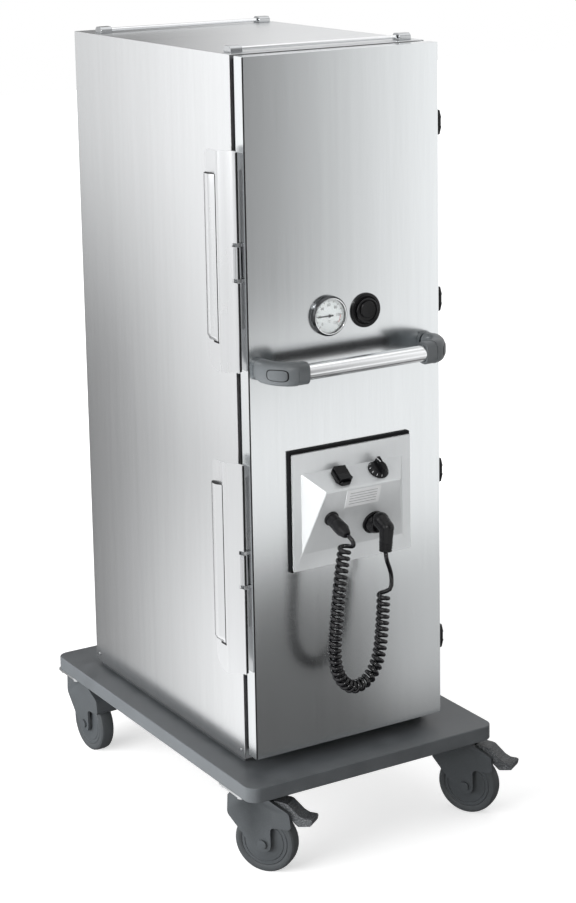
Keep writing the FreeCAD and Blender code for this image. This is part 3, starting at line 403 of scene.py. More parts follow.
def makeMouldedGroup():
    # pale flecks, soft blotches, and dust where a face looks up
    tree, source, sink = newGroup(
        "mouldedGrain",
        [("Vector", "NodeSocketVector", (0, 0, 0)), ("Colour", "NodeSocketColor", (0.1, 0.1, 0.1, 1)),
         ("Fleck", "NodeSocketColor", (0.2, 0.2, 0.2, 1))]
        + floatInputs(Fleck_Amount=0.3, Grain_Scale=1200.0, Rough=0.5, Dust=0.1),
        [("Colour", "NodeSocketColor"), ("Roughness", "NodeSocketFloat"), ("Height", "NodeSocketFloat")])
    grain = stretchedNoise(tree, source["Vector"], source["Grain Scale"], 2.0)
    blotch = stretchedNoise(tree, source["Vector"], 22.0, 4.0)
    flecks = rangeNode(tree, grain, 0.52, 0.66, 0.0, source["Fleck Amount"])
    flecked = colourMix(tree, flecks, source["Colour"], source["Fleck"])
    shade = greyColour(tree, rangeNode(tree, blotch, 0.3, 0.7, 0.9, 1.06))
    shaded = colourMix(tree, 1.0, flecked, shade, blend_type="MULTIPLY")
    normal = separate(tree, addNode(tree, "ShaderNodeNewGeometry").outputs["Normal"])
    upFacing = rangeNode(tree, normal["Z"], 0.3, 1.0, 0.0, 1.0)
    patches = rangeNode(tree, blotch, 0.4, 0.65, 0.3, 1.0)
    dust = times(tree, times(tree, upFacing, patches), source["Dust"], clamp=True)
    tree.links.new(colourMix(tree, dust, shaded, (0.42, 0.43, 0.44, 1)), sink["Colour"])
    spread = times(tree, mathNode(tree, "SUBTRACT", blotch, 0.5), 0.25)
    rough = mathNode(tree, "ADD", plus(tree, source["Rough"], spread), times(tree, dust, 0.5), clamp=True)
    tree.links.new(rough, sink["Roughness"])
    tree.links.new(grain, sink["Height"])
    return tree


brushedGroup = makeBrushedGroup()
mouldedGroup = makeMouldedGroup()


def newMaterial(name):
    material = bpy.data.materials.new(name)
    material.use_nodes = True
    tree = material.node_tree
    return material, tree, tree.nodes["Principled BSDF"]


def addBump(tree, height, shader, strength, distance):
    bump = feed(tree, addNode(tree, "ShaderNodeBump"), Strength=strength, Distance=distance, Height=height)
    tree.links.new(bump.outputs["Normal"], shader.inputs["Normal"])


def brushedSteel(name, tint, toneSpread=0.022, lineScale=900.0, rough=(0.205, 0.23), bump=0.05, turn=(0, 0, 0),
                 metallic=1.0):
    # the turn, in degrees, lays the brushed lines along another axis than Z
    material, tree, shader = newMaterial(name)
    mapping = feed(tree, addNode(tree, "ShaderNodeMapping"), Vector=objectPlace(tree),
                   Rotation=[math.radians(a) for a in turn])
    grain = addNode(tree, "ShaderNodeGroup", node_tree=brushedGroup)
    feed(tree, grain, Vector=mapping.outputs[0], Line_Scale=lineScale, Rough_Low=rough[0], Rough_High=rough[1])
    low = [c * (1 - toneSpread) for c in tint] + [1]
    high = [min(1, c * (1 + toneSpread)) for c in tint] + [1]
    tone = rangeNode(tree, grain.outputs["Tone"], 0.35, 0.65, 0.0, 1.0)
    feed(tree, shader, Base_Color=colourMix(tree, tone, low, high), Roughness=grain.outputs["Roughness"],
         Metallic=metallic)
    addBump(tree, grain.outputs["Height"], shader, bump, 0.0002)
    return material


def moulded(name, tint, fleck=None, fleckAmount=0.3, grainScale=1200.0, rough=0.5, dust=0.08, bump=0.25,
            shine=0.5, metallic=0.0):
    material, tree, shader = newMaterial(name)
    grain = addNode(tree, "ShaderNodeGroup", node_tree=mouldedGroup)
    feed(tree, grain, Vector=objectPlace(tree), Colour=(*tint, 1),
         Fleck=(*(fleck or [min(1, c * 1.6 + 0.01) for c in tint]), 1), Fleck_Amount=fleckAmount,
         Grain_Scale=grainScale, Rough=rough, Dust=dust)
    feed(tree, shader, Base_Color=grain.outputs["Colour"], Roughness=grain.outputs["Roughness"],
         Metallic=metallic, Specular_IOR_Level=shine)
    addBump(tree, grain.outputs["Height"], shader, bump, 0.0003)
    return material


def printed(name, tint, shine=0.5):
    return moulded(name, tint, fleckAmount=0.0, dust=0.0, bump=0.0, shine=shine)


def clearGlass(name):
    material, tree, shader = newMaterial(name)
    haze = stretchedNoise(tree, objectPlace(tree), 90.0, 3.0)
    feed(tree, shader, Base_Color=(0.97, 0.99, 0.99, 1), Transmission_Weight=1.0, IOR=1.45,
         Roughness=rangeNode(tree, haze, 0.4, 0.7, 0.02, 0.08))
    return material


steelSide = brushedSteel("steelSide", (0.68, 0.69, 0.70))
steelDoor = brushedSteel("steelDoor", (0.66, 0.68, 0.69), rough=(0.19, 0.215))
steelTop = brushedSteel("steelTop", (0.68, 0.69, 0.70), rough=(0.28, 0.33), turn=(0, 90, 0))
steelLatch = brushedSteel("steelLatch", (0.70, 0.71, 0.72), rough=(0.22, 0.32))
steelModule = brushedSteel("steelModule", (0.74, 0.76, 0.77), rough=(0.34, 0.42), bump=0.04, lineScale=1400.0,
                           metallic=0.32)
steelInside = brushedSteel("steelInside", (0.60, 0.61, 0.62), rough=(0.30, 0.42))
chromeRail = brushedSteel("chromeRail", (0.80, 0.81, 0.82), toneSpread=0.03, rough=(0.08, 0.16), bump=0.02,
                          turn=(0, 90, 0))
barAluminium = brushedSteel("barAluminium", (0.78, 0.79, 0.80), toneSpread=0.05, rough=(0.16, 0.26), bump=0.06,
                            turn=(0, 90, 0))
railEnd = brushedSteel("railEnd", (0.42, 0.43, 0.44), rough=(0.12, 0.2))
bezelShade = brushedSteel("bezelShade", (0.06, 0.062, 0.064), rough=(0.2, 0.3))
bezelChrome = brushedSteel("bezelChrome", (0.78, 0.79, 0.80), toneSpread=0.03, rough=(0.07, 0.14), bump=0.02)
zincPlate = moulded("zincPlate", (0.56, 0.57, 0.58), rough=0.38, dust=0.05, bump=0.08, metallic=1.0,
                    fleckAmount=0.15)
baseSlate = moulded("baseSlate", (0.071, 0.078, 0.084), fleckAmount=0.22, grainScale=900.0, rough=0.45, dust=0.05,
                    bump=0.2)
plinthGrey = moulded("plinthGrey", (0.03, 0.032, 0.034), rough=0.6)
casterGrey = moulded("casterGrey", (0.043, 0.048, 0.052), fleckAmount=0.35, grainScale=700.0, dust=0.05)
pedalGrey = moulded("pedalGrey", (0.034, 0.037, 0.040), fleck=(0.32, 0.33, 0.34), fleckAmount=0.5,
                    grainScale=600.0, dust=0.06)
tyreGrey = moulded("tyreGrey", (0.040, 0.044, 0.047), fleckAmount=0.2, grainScale=900.0, rough=0.6, dust=0.04)
wheelCore = moulded("wheelCore", (0.045, 0.050, 0.054), grainScale=900.0, rough=0.45, dust=0.04)
bracketGrey = moulded("bracketGrey", (0.105, 0.115, 0.122), fleckAmount=0.15, grainScale=1100.0, rough=0.4,
                      dust=0.04, bump=0.12)
blackPlastic = moulded("blackPlastic", (0.007, 0.007, 0.008), fleckAmount=0.2, rough=0.26, dust=0.0, bump=0.1,
                       shine=0.22)
blackSatin = moulded("blackSatin", (0.006, 0.006, 0.007), rough=0.32, dust=0.0, bump=0.15, shine=0.2)
sealRubber = moulded("sealRubber", (0.004, 0.004, 0.005), fleckAmount=0.2, rough=0.7, dust=0.0, shine=0.15)
cordBlack = moulded("cordBlack", (0.002, 0.002, 0.003), fleckAmount=0.1, grainScale=2000.0, rough=0.13, dust=0.0,
                    bump=0.03, shine=0.42)
foamCream = moulded("foamCream", (0.72, 0.66, 0.46), fleckAmount=0.5, grainScale=400.0, rough=0.9, dust=0.0,
                    bump=0.6)
dialWhite = moulded("dialWhite", (0.78, 0.79, 0.79), fleckAmount=0.05, rough=0.45, dust=0.0, bump=0.02)
labelSilver = moulded("labelSilver", (0.86, 0.87, 0.88), fleckAmount=0.1, dust=0.0, bump=0.05)
heaterSteel = moulded("heaterSteel", (0.24, 0.20, 0.17), rough=0.4, metallic=1.0, dust=0.0)
markBlack = printed("markBlack", (0.008, 0.008, 0.009), shine=0.2)
markGrey = printed("markGrey", (0.34, 0.35, 0.36))
markWhite = printed("markWhite", (0.80, 0.81, 0.82))
markRed = printed("markRed", (0.50, 0.03, 0.025))
dialGlass = clearGlass("dialGlass")
print("materials made:", len(bpy.data.materials))


def geometryTree(name, *inputs):
    # an input whose kind isn't given is a number
    tree = bpy.data.node_groups.new(name, "GeometryNodeTree")
    for side in ("INPUT", "OUTPUT"):
        tree.interface.new_socket("Geometry", in_out=side, socket_type="NodeSocketGeometry")
    kinds = {"Count": "NodeSocketInt", "Facing": "NodeSocketVector", "Material": "NodeSocketMaterial"}
    for label in (*inputs, "Material"):
        tree.interface.new_socket(label, in_out="INPUT", socket_type=kinds.get(label, "NodeSocketFloat"))
    return tree, tree.nodes.new("NodeGroupInput").outputs, tree.nodes.new("NodeGroupOutput").inputs


def combined(tree, **parts):
    return feed(tree, addNode(tree, "ShaderNodeCombineXYZ"), **parts).outputs[0]


def sizedBar(tree, source):
    size = combined(tree, X=source["Length"], Y=source["Width"], Z=source["Thickness"])
    return feed(tree, addNode(tree, "GeometryNodeMeshCube"), Size=size).outputs["Mesh"]


def endTree(tree, source, sink, **copying):
    # copies on the points, made real and given their material
    copies = feed(tree, addNode(tree, "GeometryNodeInstanceOnPoints"), **copying)
    real = feed(tree, addNode(tree, "GeometryNodeRealizeInstances"), Geometry=copies.outputs["Instances"])
    finish = addNode(tree, "GeometryNodeSetMaterial")
    feed(tree, finish, Geometry=real.outputs["Geometry"], Material=source["Material"])
    tree.links.new(finish.outputs["Geometry"], sink["Geometry"])
    return tree


def makeRingTree():
    # bars round a centre, such as the tick marks of a dial
    tree, source, sink = geometryTree("ringOfBars", "Count", "Radius", "Start", "Sweep", "Length", "Width",
                                      "Thickness", "Height", "Tilt")
    index = addNode(tree, "GeometryNodeInputIndex").outputs[0]
    share = mathNode(tree, "DIVIDE", index, mathNode(tree, "SUBTRACT", source["Count"], 1.0))
    angle = plus(tree, source["Start"], times(tree, share, source["Sweep"]))
    x, y = (times(tree, mathNode(tree, wave, angle), source["Radius"]) for wave in ("COSINE", "SINE"))
    place = combined(tree, X=x, Y=y, Z=source["Height"])
    points = feed(tree, addNode(tree, "GeometryNodePoints"), Count=source["Count"], Position=place)
    return endTree(tree, source, sink, Points=points.outputs[0], Instance=sizedBar(tree, source),
                   Rotation=combined(tree, Y=source["Tilt"], Z=angle))


def makeRowTree():
    # equal bars side by side along Y, centred on the start
    tree, source, sink = geometryTree("rowOfBars", "Count", "Gap", "Length", "Width", "Thickness")
    half = times(tree, mathNode(tree, "SUBTRACT", source["Count"], 1.0), -0.5)
    row = addNode(tree, "GeometryNodeMeshLine")
    feed(tree, row, Count=source["Count"], Offset=combined(tree, Y=source["Gap"]),
         Start_Location=combined(tree, Y=times(tree, half, source["Gap"])))
    return endTree(tree, source, sink, Points=row.outputs["Mesh"], Instance=sizedBar(tree, source))


def makeStudTree():
    # a low round head on every point of the mesh that carries the tree, all facing one way
    tree, source, sink = geometryTree("studsOnPoints", "Radius", "Rise", "Facing")
    head = addNode(tree, "GeometryNodeMeshCone")
    feed(tree, head, Vertices=18, Radius_Bottom=source["Radius"], Radius_Top=times(tree, source["Radius"], 0.66),
         Depth=source["Rise"])
    aim = feed(tree, addNode(tree, "FunctionNodeAlignRotationToVector", axis="Z"), Vector=source["Facing"])
    return endTree(tree, source, sink, Points=source["Geometry"], Instance=head.outputs["Mesh"],
                   Rotation=aim.outputs[0])


def runTree(name, mesh, tree, values):
    # the tree's result on that mesh, as a plain mesh
    piece = addObject(name, mesh)
    modifier = piece.modifiers.new("repeat", "NODES")
    modifier.node_group = tree
    for item in tree.interface.items_tree:
        if item.item_type == "SOCKET" and item.in_out == "INPUT" and item.name in values:
            modifier[item.identifier] = values[item.name]
    result = bakedMesh(piece, name)
    bpy.data.objects.remove(piece)
    return result


ringTree = makeRingTree()
rowTree = makeRowTree()
studTree = makeStudTree()


def barMarks(tree, material, **values):
    # lengths are given in mm and angles in degrees
    lengths, angles = ("radius", "length", "width", "thickness", "height", "gap"), ("start", "sweep", "tilt")
    sockets = {k.capitalize(): v * mm if k in lengths else math.radians(v) if k in angles else v
               for k, v in values.items()}
    return runTree("marks", meshFrom("seed", [(0, 0, 0)], []), tree, dict(sockets, Material=material))


def addStuds(name, points, facing, radius, rise):
    mesh = runTree(name, meshFrom("seed", points, []), studTree,
                   {"Radius": radius * mm, "Rise": rise * mm, "Facing": facing, "Material": zincPlate})
    addRider(name, mesh, "root")


curlyCord = {"diameter": 8.0, "curlOutside": 27.0, "curls": 42.25, "sides": 14, "stepsPerCurl": 16,
             # the line that the curls follow, from the gland side round to the plug, in mm from the door's face
             "route": [(-64.5, -88, 651), (-71.5, -87, 610), (-77.5, -85, 556), (-82.5, -83, 502), (-86, -81, 458),
                       (-84, -79, 418), (-72, -77, 384), (-45, -75, 359), (-13, -73, 363), (12, -71, 386),
                       (25, -69, 420), (31, -67, 460), (35, -66, 500), (37, -65, 529.5)],
             "leadIn": [(-60, -90.4, 672.6), (-60, -98, 670.1), (-58.5, -105.5, 665.5), (-56, -106.5, 657),
                        (-55, -99, 651.5)],
             "leadOut": [(51, -70, 536.5), (57, -63.5, 551), (55, -64.5, 569), (47, -68.5, 586),
                         (39.5, -71.8, 601), (37, -73, 617)]}


def splineThrough(controlPoints, resolution):
    # a smooth line drawn by control points, read back as points, of which those closer than 0.2 mm are left out
    curve = bpy.data.curves.new("line", "CURVE")
    curve.dimensions = "3D"
    spline = curve.splines.new("NURBS")
    spline.points.add(len(controlPoints) - 1)
    for point, place in zip(spline.points, controlPoints):
        point.co = (*place, 1)
    spline.order_u = 3
    spline.use_endpoint_u = True
    curve.resolution_u = resolution
    holder = addObject("line", curve)
    mesh = bakedMesh(holder, "line")
    points = []
    for vertex in mesh.vertices:
        if not points or (vertex.co - points[-1]).length > 0.2 * mm:
            points.append(vertex.co.copy())
    bpy.data.objects.remove(holder)
    bpy.data.meshes.remove(mesh)
    return points


def evenSteps(points, count):
    # the same line in equal steps, each with its direction
    reach = [0.0]
    for a, b in zip(points, points[1:]):
        reach.append(reach[-1] + (b - a).length)
    found, k = [], 0
    for i in range(count + 1):
        target = reach[-1] * i / count
        while k < len(points) - 2 and reach[k + 1] < target:
            k += 1
        part = (target - reach[k]) / (reach[k + 1] - reach[k])
        found.append((points[k].lerp(points[k + 1], part), (points[k + 1] - points[k]).normalized()))
    return found


def makeCord(c):
    # the two radii are raised a little, since a spline and a tube's flat sides run inside their points
    centreLine = splineThrough([doorPoint(*p) for p in c["route"]], 24)
    radius = (c["curlOutside"] - c["diameter"]) / 2 * mm / math.cos(math.pi / c["stepsPerCurl"])
    curls = []
    for i, (centre, run) in enumerate(evenSteps(centreLine, int(round(c["curls"] * c["stepsPerCurl"])))):
        outward = (frontward - run * frontward.dot(run)).normalized()
        right = outward.cross(run)
        a = 2 * math.pi * i / c["stepsPerCurl"]
        curls.append(centre + (right * math.cos(a) - outward * math.sin(a)) * radius)
    controls = [doorPoint(*p) for p in c["leadIn"]] + curls + [doorPoint(*p) for p in c["leadOut"]]
    line = splineThrough(controls, 2)
    total = sum((b - a).length for a, b in zip(line, line[1:]))
    print("cord:", len(line), "points,", round(total, 3), "m of wire")
    thick = c["diameter"] / 2 * mm / math.cos(math.pi / c["sides"]) ** 2
    tube = inMaterial(tubeAlong("curlyCord", line, thick, c["sides"]), cordBlack)
    return settle(addObject("curly_cord_finished", tube), "curly_cord"), line, total


plugLook = {"voxel": 0.9, "smoothing": 10, "end": (37, -73, 617), "elbow": (42, -70, 663),
            "ribs": 4, "firstRib": 1.0, "ribGap": 5.2, "ribOutside": 12.6, "ribGrows": 0.33, "ribInside": 3.0,
            "ribTall": 3.2, "ribEdge": 0.8}


def makePlug(c):
    # the plug's solids melted into one moulded shape, with ribs round the neck where the cord comes out
    holder = addObject("plugHolder", mergedCopy("plug"))
    remesh = holder.modifiers.new("melt", "REMESH")
    remesh.mode = "VOXEL"
    remesh.voxel_size = c["voxel"] * mm
    holder.modifiers.new("soften", "SMOOTH").iterations = c["smoothing"]
    body = inMaterial(bakedMesh(holder, "plugBody"), blackPlastic)
    bpy.data.objects.remove(holder)
    body.shade_smooth()
    end, elbow = doorPoint(*c["end"]), doorPoint(*c["elbow"])
    turn = frameOf(elbow - end, frontward)
    parts = [body]
    inside, edge, tall = c["ribInside"], c["ribEdge"], c["ribTall"]
    for k in range(c["ribs"]):
        low = c["firstRib"] + k * c["ribGap"]
        outside = c["ribOutside"] + c["ribGrows"] * k
        rib = latheMesh("rib", [(inside, low), (outside - edge, low), (outside, low + edge),
                                (outside, low + tall - edge), (outside - edge, low + tall), (inside, low + tall),
                                (inside, low)], 40)
        parts.append(placed(inMaterial(rib, blackPlastic), end, turn))
    return settle(addObject("plug_finished", joinedMesh("plug", parts)), "plug")


plugPiece = makePlug(plugLook)
cordPiece, cordPath, cordLength = makeCord(curlyCord)
tuple(cordPath[0])
[tuple(p) for p in cordPath]
print("cord made")

cabinetLook = {"panelEdge": 0.7, "doorEdge": 1.6, "baseEdge": 2.2, "plinthEdge": 1.0, "sealEdge": 2.0,
               "railEndEdge": 1.2, "foldShadeX": (-215.3, -213.0), "foldShadeY": (-0.4, 1.4), "foldShadeZ": (226, 1575)}


def makeCabinet(c):
    for name, material in (("side_panel_left", steelSide), ("side_panel_right", steelSide),
                           ("top_panel", steelTop), ("back_panel", steelSide)):
        dress(name, material, c["panelEdge"], 2)
    dress("door_skin", steelDoor, c["doorEdge"], 3)
    dress("base_plate", baseSlate, c["baseEdge"], 4)
    dress("plinth_board", plinthGrey, c["plinthEdge"], 2)
    for name in ("inner_liner", "front_frame", "runner_walls", "pan_runners", "door_liner"):
        paint(name, steelInside)
    for name in ("insulation", "door_insulation"):
        paint(name, foamCream)
    dress("door_seal", sealRubber, c["sealEdge"], 3)
    dress("gallery_rails", chromeRail)
    dress("gallery_brackets", railEnd, c["railEndEdge"], 3)
    # a black strip along the door's left edge where it is folded, painted shade standing in for the fold's shade
    # and dark reflection
    (x0, x1), (y0, y1) = c["foldShadeX"], c["foldShadeY"]
    foldShade = inMaterial(prismMesh("foldShadeLine", [(x0, y0), (x0, y1), (x1, y1), (x1, y0)], *c["foldShadeZ"]), markBlack)
    addRider("door_fold_shade", placed(foldShade, doorPoint(0, 0, 0)), "door")


makeCabinet(cabinetLook)
print("cabinet dressed")

# profiles as (radius, place along the axle) in mm
casterWheel = {"segments": 96,
               "rubber": [(48.0, -13.0), (50, -14.6), (55, -15.8), (58.5, -15.2), (61.2, -12.6), (62.3, -8),
                          (62.5, -3), (62.5, 3), (62.3, 8), (61.2, 12.6), (58.5, 15.2), (55, 15.8), (50, 14.6),
                          (48.0, 13.0), (48, -13)],
               "disc": [(5.1, -18.4), (12.5, -18.4), (14, -17), (14.8, -15), (18, -14.2), (39, -13.6),
                        (40, -12.6), (41.4, -12.6), (42.2, -13.6), (46.4, -13.8), (47.9, -12.6), (47.9, 12.6),
                        (46.4, 13.8), (42.2, 13.6), (41.4, 12.6), (40, 12.6), (39, 13.6), (18, 14.2),
                        (14.8, 15), (14, 17), (12.5, 18.4), (5.1, 18.4), (5.1, -18.4)]}
# each tread as its first and last point, out from the swivel and up, and its number of ribs
pedalTread = {"hood": ((92, 148.6), (112, 131.0), 5), "tab": ((125.5, 125), (141, 125), 4),
              "length": 27.0, "width": 2.0, "thickness": 2.2, "edge": 0.5}


def jointOf(nodeName):
    return next(j for j in frame["joints"] if j["child"] == bodyOfNode[nodeName])


def makeWheel(tag, c):
    joint = jointOf(f"caster_wheel_{tag}")
    place, turn = Vector(joint["pos_m"]), frameOf(Vector(joint["axis"]))
    parts = [placed(inMaterial(latheMesh(part, c[part], c["segments"]), material), place, turn)
             for part, material in (("rubber", tyreGrey), ("disc", wheelCore))]
    settle(addObject(f"caster_wheel_{tag}_finished", joinedMesh("wheel", parts)), f"caster_wheel_{tag}")


def makeTreads(tag, c):
    swivel, axle = (Vector(jointOf(f"{part}_{tag}")["pos_m"]) for part in ("caster_fork", "caster_wheel"))
    swivel.z = 0
    outward = Vector((axle.x - swivel.x, axle.y - swivel.y, 0)).normalized()
    parts = []
    for start, end, count in (c["hood"], c["tab"]):
        first, last = (swivel + outward * u * mm + skyward * z * mm for u, z in (start, end))
        along = (last - first).normalized()
        side = along.cross(skyward).normalized()
        turn = Matrix((side, along, side.cross(along))).transposed().to_4x4()
        ribs = barMarks(rowTree, pedalGrey, count=count, gap=(last - first).length / mm / (count - 1),
                        length=c["length"], width=c["width"], thickness=c["thickness"])
        parts.append(placed(ribs, (first + last) / 2, turn))
    ribs = addRider(f"pedal_treads_{tag}", joinedMesh("treads", parts), bodyOfNode[f"brake_pedal_{tag}"])
    addBevel(ribs, c["edge"], 2)


for tag in ("fl", "fr", "bl", "br"):
    dress(f"caster_fork_{tag}", casterGrey, 2.0, 3)
    makeWheel(tag, casterWheel)
for tag in ("fl", "fr"):
    dress(f"brake_pedal_{tag}", pedalGrey, 2.0, 3)
    makeTreads(tag, pedalTread)
dress("caster_plates", zincPlate, 0.6, 2)
dress("caster_bolts", zincPlate, 0.8, 2)
print("casters dressed")

dress("hinge_blocks", blackSatin, 0.8, 2)
dress("hinge_leaves", blackSatin, 0.8, 2)
paint("hinge_pins", zincPlate)

# a lever stands on its pivot's axis: x out from the cabinet is negative, y runs back, z up from its lower end
latchLever = {"tall": 416.0, "deep": 66.0, "thick": 2.0, "edge": 0.35, "topRadius": 12.0, "lowRadius": 35.0,
              "pivot": (-223.5, 16.0), "middles": {"latch_lever_upper": 1197.0, "latch_lever_lower": 606.0},
              "web": [(-4.2, -6.2), (-4.6, 0), (-8.3, 4.5), (-9.8, 6.3), (-16.2, 12.5), (-21.6, 17.6),
                      (-24.3, 20.3), (-25.7, 22.2), (-26.4, 24.4)], "flange": (-26.5, 24.4),
              "bulge": 8.6, "bulgeFrom": 31.0, "bulgeLow": (58.0, 68.0), "bulgeTop": 371.0,
              "lugRoom": (29.8, 37.2),
              "hook": [(-24, 21), (-24, 42), (0.8, 42), (0.8, 38), (-20, 38), (-20, 17)], "hookHalf": 12,
              "eye": (3.1, 5.4, 6.0), "eyeHalf": 30.0, "eyeEdge": 0.6,
              "neck": [(-8, -4), (-8, 3), (-3.4, 3), (-3.4, -4)], "neckHalf": 29.5,
              "slot": [(-27.9, 28), (-27.9, 47), (-27.3, 47), (-27.3, 28)], "slotZ": (53.5, 57.2),
              "lip": [(-3.8, -6.85), (-3.8, -6.1), (0, -6.1), (0, -6.85)], "lipEnd": 3, "lipRoom": 37.5}


def leverEdge(c, z):
    # how far back the flange reaches at that height, with its rounded corners
    for radius, inside in ((c["topRadius"], c["tall"] - z), (c["lowRadius"], z)):
        if inside < radius:
            return c["deep"] - radius + math.sqrt(max(radius ** 2 - (radius - inside) ** 2, 0))
    return c["deep"]


def leverHeights(c):
    # close together round the corners and at the bulge's two ends, with a step at each end of the lugs' rooms
    heights = [c["lowRadius"] * (1 - math.cos(math.pi / 2 * k / 9)) for k in range(10)]
    heights += [40 + k * 4 for k in range(12)] + [57.9, 62, 66] + [100 + k * 22.5 for k in range(12)]
    heights += [c["bulgeTop"] - 6, c["bulgeTop"] - 0.1, c["bulgeTop"] + 0.5, 385, 395]
    heights += [c["tall"] / 2 + side * dz for side in (-1, 1) for dz in c["lugRoom"]]
    heights += [c["tall"] - c["topRadius"] * (1 - math.cos(math.pi / 2 * k / 7)) for k in range(8)]
    return sorted(set(round(h, 3) for h in heights))


def bulgeOut(c, y, z):
    if z > c["bulgeTop"] or y <= c["bulgeFrom"]:
        return 0.0
    low, full = c["bulgeLow"]
    rise = min(max((z - low) / (full - low), 0), 1)
    rise = rise * rise * (3 - 2 * rise)
    v = (y - c["bulgeFrom"]) / (c["deep"] - c["bulgeFrom"])
    shape = math.sin(math.pi / 2 * min(1, v / 0.42)) if v < 0.6 else 1 - 0.75 * ((v - 0.6) / 0.4) ** 2
    return c["bulge"] * rise * shape


def leverSheet(c, base):
    # one skin of web and flange; the bulge is open at the top, and its opening and the gap along its front edge
    # are painted black as painted shade
    heights, web, (flangeX, flangeY) = leverHeights(c), c["web"], c["flange"]
    columns = [0.06, 0.10, 0.17, 0.2] + [0.2 + 0.8 * k / 22 for k in range(1, 23)]
    vertices = []
    for z in heights:
        edge = leverEdge(c, z)
        vertices += [base + Vector((x, y, z)) * mm for x, y in web]
        for part in columns:
            y = flangeY + (edge - flangeY) * part
            vertices.append(base + Vector((flangeX - bulgeOut(c, y, z), y, z)) * mm)
    across = len(web) + len(columns)
    faces = [(a, a + across, a + across + 1, a + 1) for i in range(len(heights) - 1)
             for a in range(i * across, (i + 1) * across - 1)]
    sheet = inMaterial(inMaterial(meshFrom("leverSheet", vertices, faces), steelLatch), markBlack)
    # the opening's row and the column along the bulge's front edge take the black material as painted shade
    openRow = heights.index(round(c["bulgeTop"] - 0.1, 3))
    paintedShadeFaces = list(range(openRow * (across - 1) + len(web) + 1, (openRow + 1) * (across - 1)))
    paintedShadeFaces += [i * (across - 1) + len(web) + 1 for i, z in enumerate(heights[:-1])
             if c["bulgeLow"][0] - 3 < z < c["bulgeTop"]]
    for k in paintedShadeFaces:
        sheet.polygons[k].material_index = 1
    # the web's first two columns are cut away round the two lugs that hold the pivot
    near, far = c["lugRoom"]
    rows = [i for i, z in enumerate(heights[:-1]) if near < abs((z + heights[i + 1]) / 2 - c["tall"] / 2) < far]
    cut = bmesh.new()
    cut.from_mesh(sheet)
    cut.faces.ensure_lookup_table()
    bmesh.ops.delete(cut, geom=[cut.faces[i * (across - 1) + k] for i in rows for k in (0, 1)], context="FACES")
    cut.to_mesh(sheet)
    cut.free()
    smoothByAngle(sheet, 40)
    return sheet


def makeLever(nodeName, c):
    base = doorPoint(*c["pivot"], c["middles"][nodeName] - c["tall"] / 2)
    holder = addObject("leverHolder", leverSheet(c, base))
    solidify = holder.modifiers.new("thickness", "SOLIDIFY")
    solidify.thickness, solidify.offset = c["thick"] * mm, 0.0
    addBevel(holder, c["edge"], 2, 50)
    parts = [bakedMesh(holder, "leverPlate")]
    bpy.data.objects.remove(holder)
    middle = c["tall"] / 2
    (inner, rim, outer), low, high, soft = c["eye"], middle - c["eyeHalf"], middle + c["eyeHalf"], c["eyeEdge"]
    eye = latheMesh("eye", [(inner, low), (rim, low), (outer, low + soft), (outer, high - soft), (rim, high),
                            (inner, high), (inner, low)], 40)
    hook = prismMesh("hook", c["hook"], middle - c["hookHalf"], middle + c["hookHalf"])
    neck = prismMesh("neck", c["neck"], middle - c["neckHalf"], middle + c["neckHalf"])
    # a black mark proud of the flange, painted shade standing in for a slot
    slotMark = prismMesh("slot", c["slot"], *c["slotZ"])
    # the black lip, painted shade for the gap between lever and door, stops short of the two lugs, and clears the
    # base as the lever turns
    lips = [prismMesh("lip", c["lip"], *span)
            for span in ((c["lipEnd"], middle - c["lipRoom"]), (middle - c["neckHalf"], middle + c["neckHalf"]),
                         (middle + c["lipRoom"], c["tall"] - c["lipEnd"]))]
    parts += [placed(inMaterial(mesh, steelLatch), base) for mesh in (eye, hook, neck)]
    parts += [placed(inMaterial(mesh, markBlack), base) for mesh in (slotMark, *lips)]
    settle(addObject(nodeName + "_finished", joinedMesh("lever", parts)), nodeName)


for name in latchLever["middles"]:
    makeLever(name, latchLever)
print("latches made")
dress("latch_bases", railEnd, 0.4, 2)
dress("latch_strikes", steelLatch, 0.5, 2)

# the bar's back, towards the door, is painted black as painted shade, so the door shows it as a dark reflection;
# each bracket's half widths go from its foot to its middle and on to its end
dressTwoTone("handle_bar", barAluminium, 0.0, 2, blackSatin, lambda normal: normal.y > 0.5)
handleBracket = {"path": [(187, 0), (190, -16), (183, -42), (167, -60), (151, -66), (140, -66), (131, -66)],
                 "height": 993.0, "steps": 84, "sides": 56, "power": 2.9,
                 "foot": (18.2, 21.4), "middle": (15.2, 22.0), "end": (18.4, 22.4), "middleAt": 0.35,
                 "grooves": (0.13, 0.80), "grooveDeep": 1.6, "narrowed": 0.95, "endFall": 0.8,
                 "collar": ((16.2, 0), (15.8, 5)), "cap": (0.50, 0.15, 0.56), "capSides": 40,
                 "capLayersWithShadeRing": ((0.12, 1.14, markBlack), (0.9, 1.0, bracketGrey))}


def bracketSurface(c, side):
    # a function that gives the point of the arm's skin at a share of its path and an angle round it
    line = evenSteps(splineThrough([doorPoint(side * x, y, c["height"]) for x, y in c["path"]], 24), c["steps"])
    bend = c["middleAt"]

    def at(share, angle, lift=0.0):
        k = min(int(share * c["steps"]), c["steps"] - 1)
        centre = line[k][0].lerp(line[k + 1][0], share * c["steps"] - k)
        run = line[k][1].lerp(line[k + 1][1], share * c["steps"] - k).normalized()
        outward = skyward.cross(run).normalized() * side
        start, end, mix = (c["foot"], c["middle"], share / bend) if share < bend else (
            c["middle"], c["end"], (share - bend) / (1 - bend))
        half = [a + (b - a) * mix for a, b in zip(start, end)]
        u, v = math.cos(angle), math.sin(angle)
        reach = (abs(u / half[0]) ** c["power"] + abs(v / half[1]) ** c["power"]) ** (-1 / c["power"])
        low, high = c["grooves"]
        if share < low or share > high:
            reach *= c["narrowed"]
        if min(abs(share - low), abs(share - high)) < 0.4 / c["steps"]:
            reach -= c["grooveDeep"]
        return centre + (outward * u + skyward * v) * (reach + lift) * mm

    return at, line[-1]


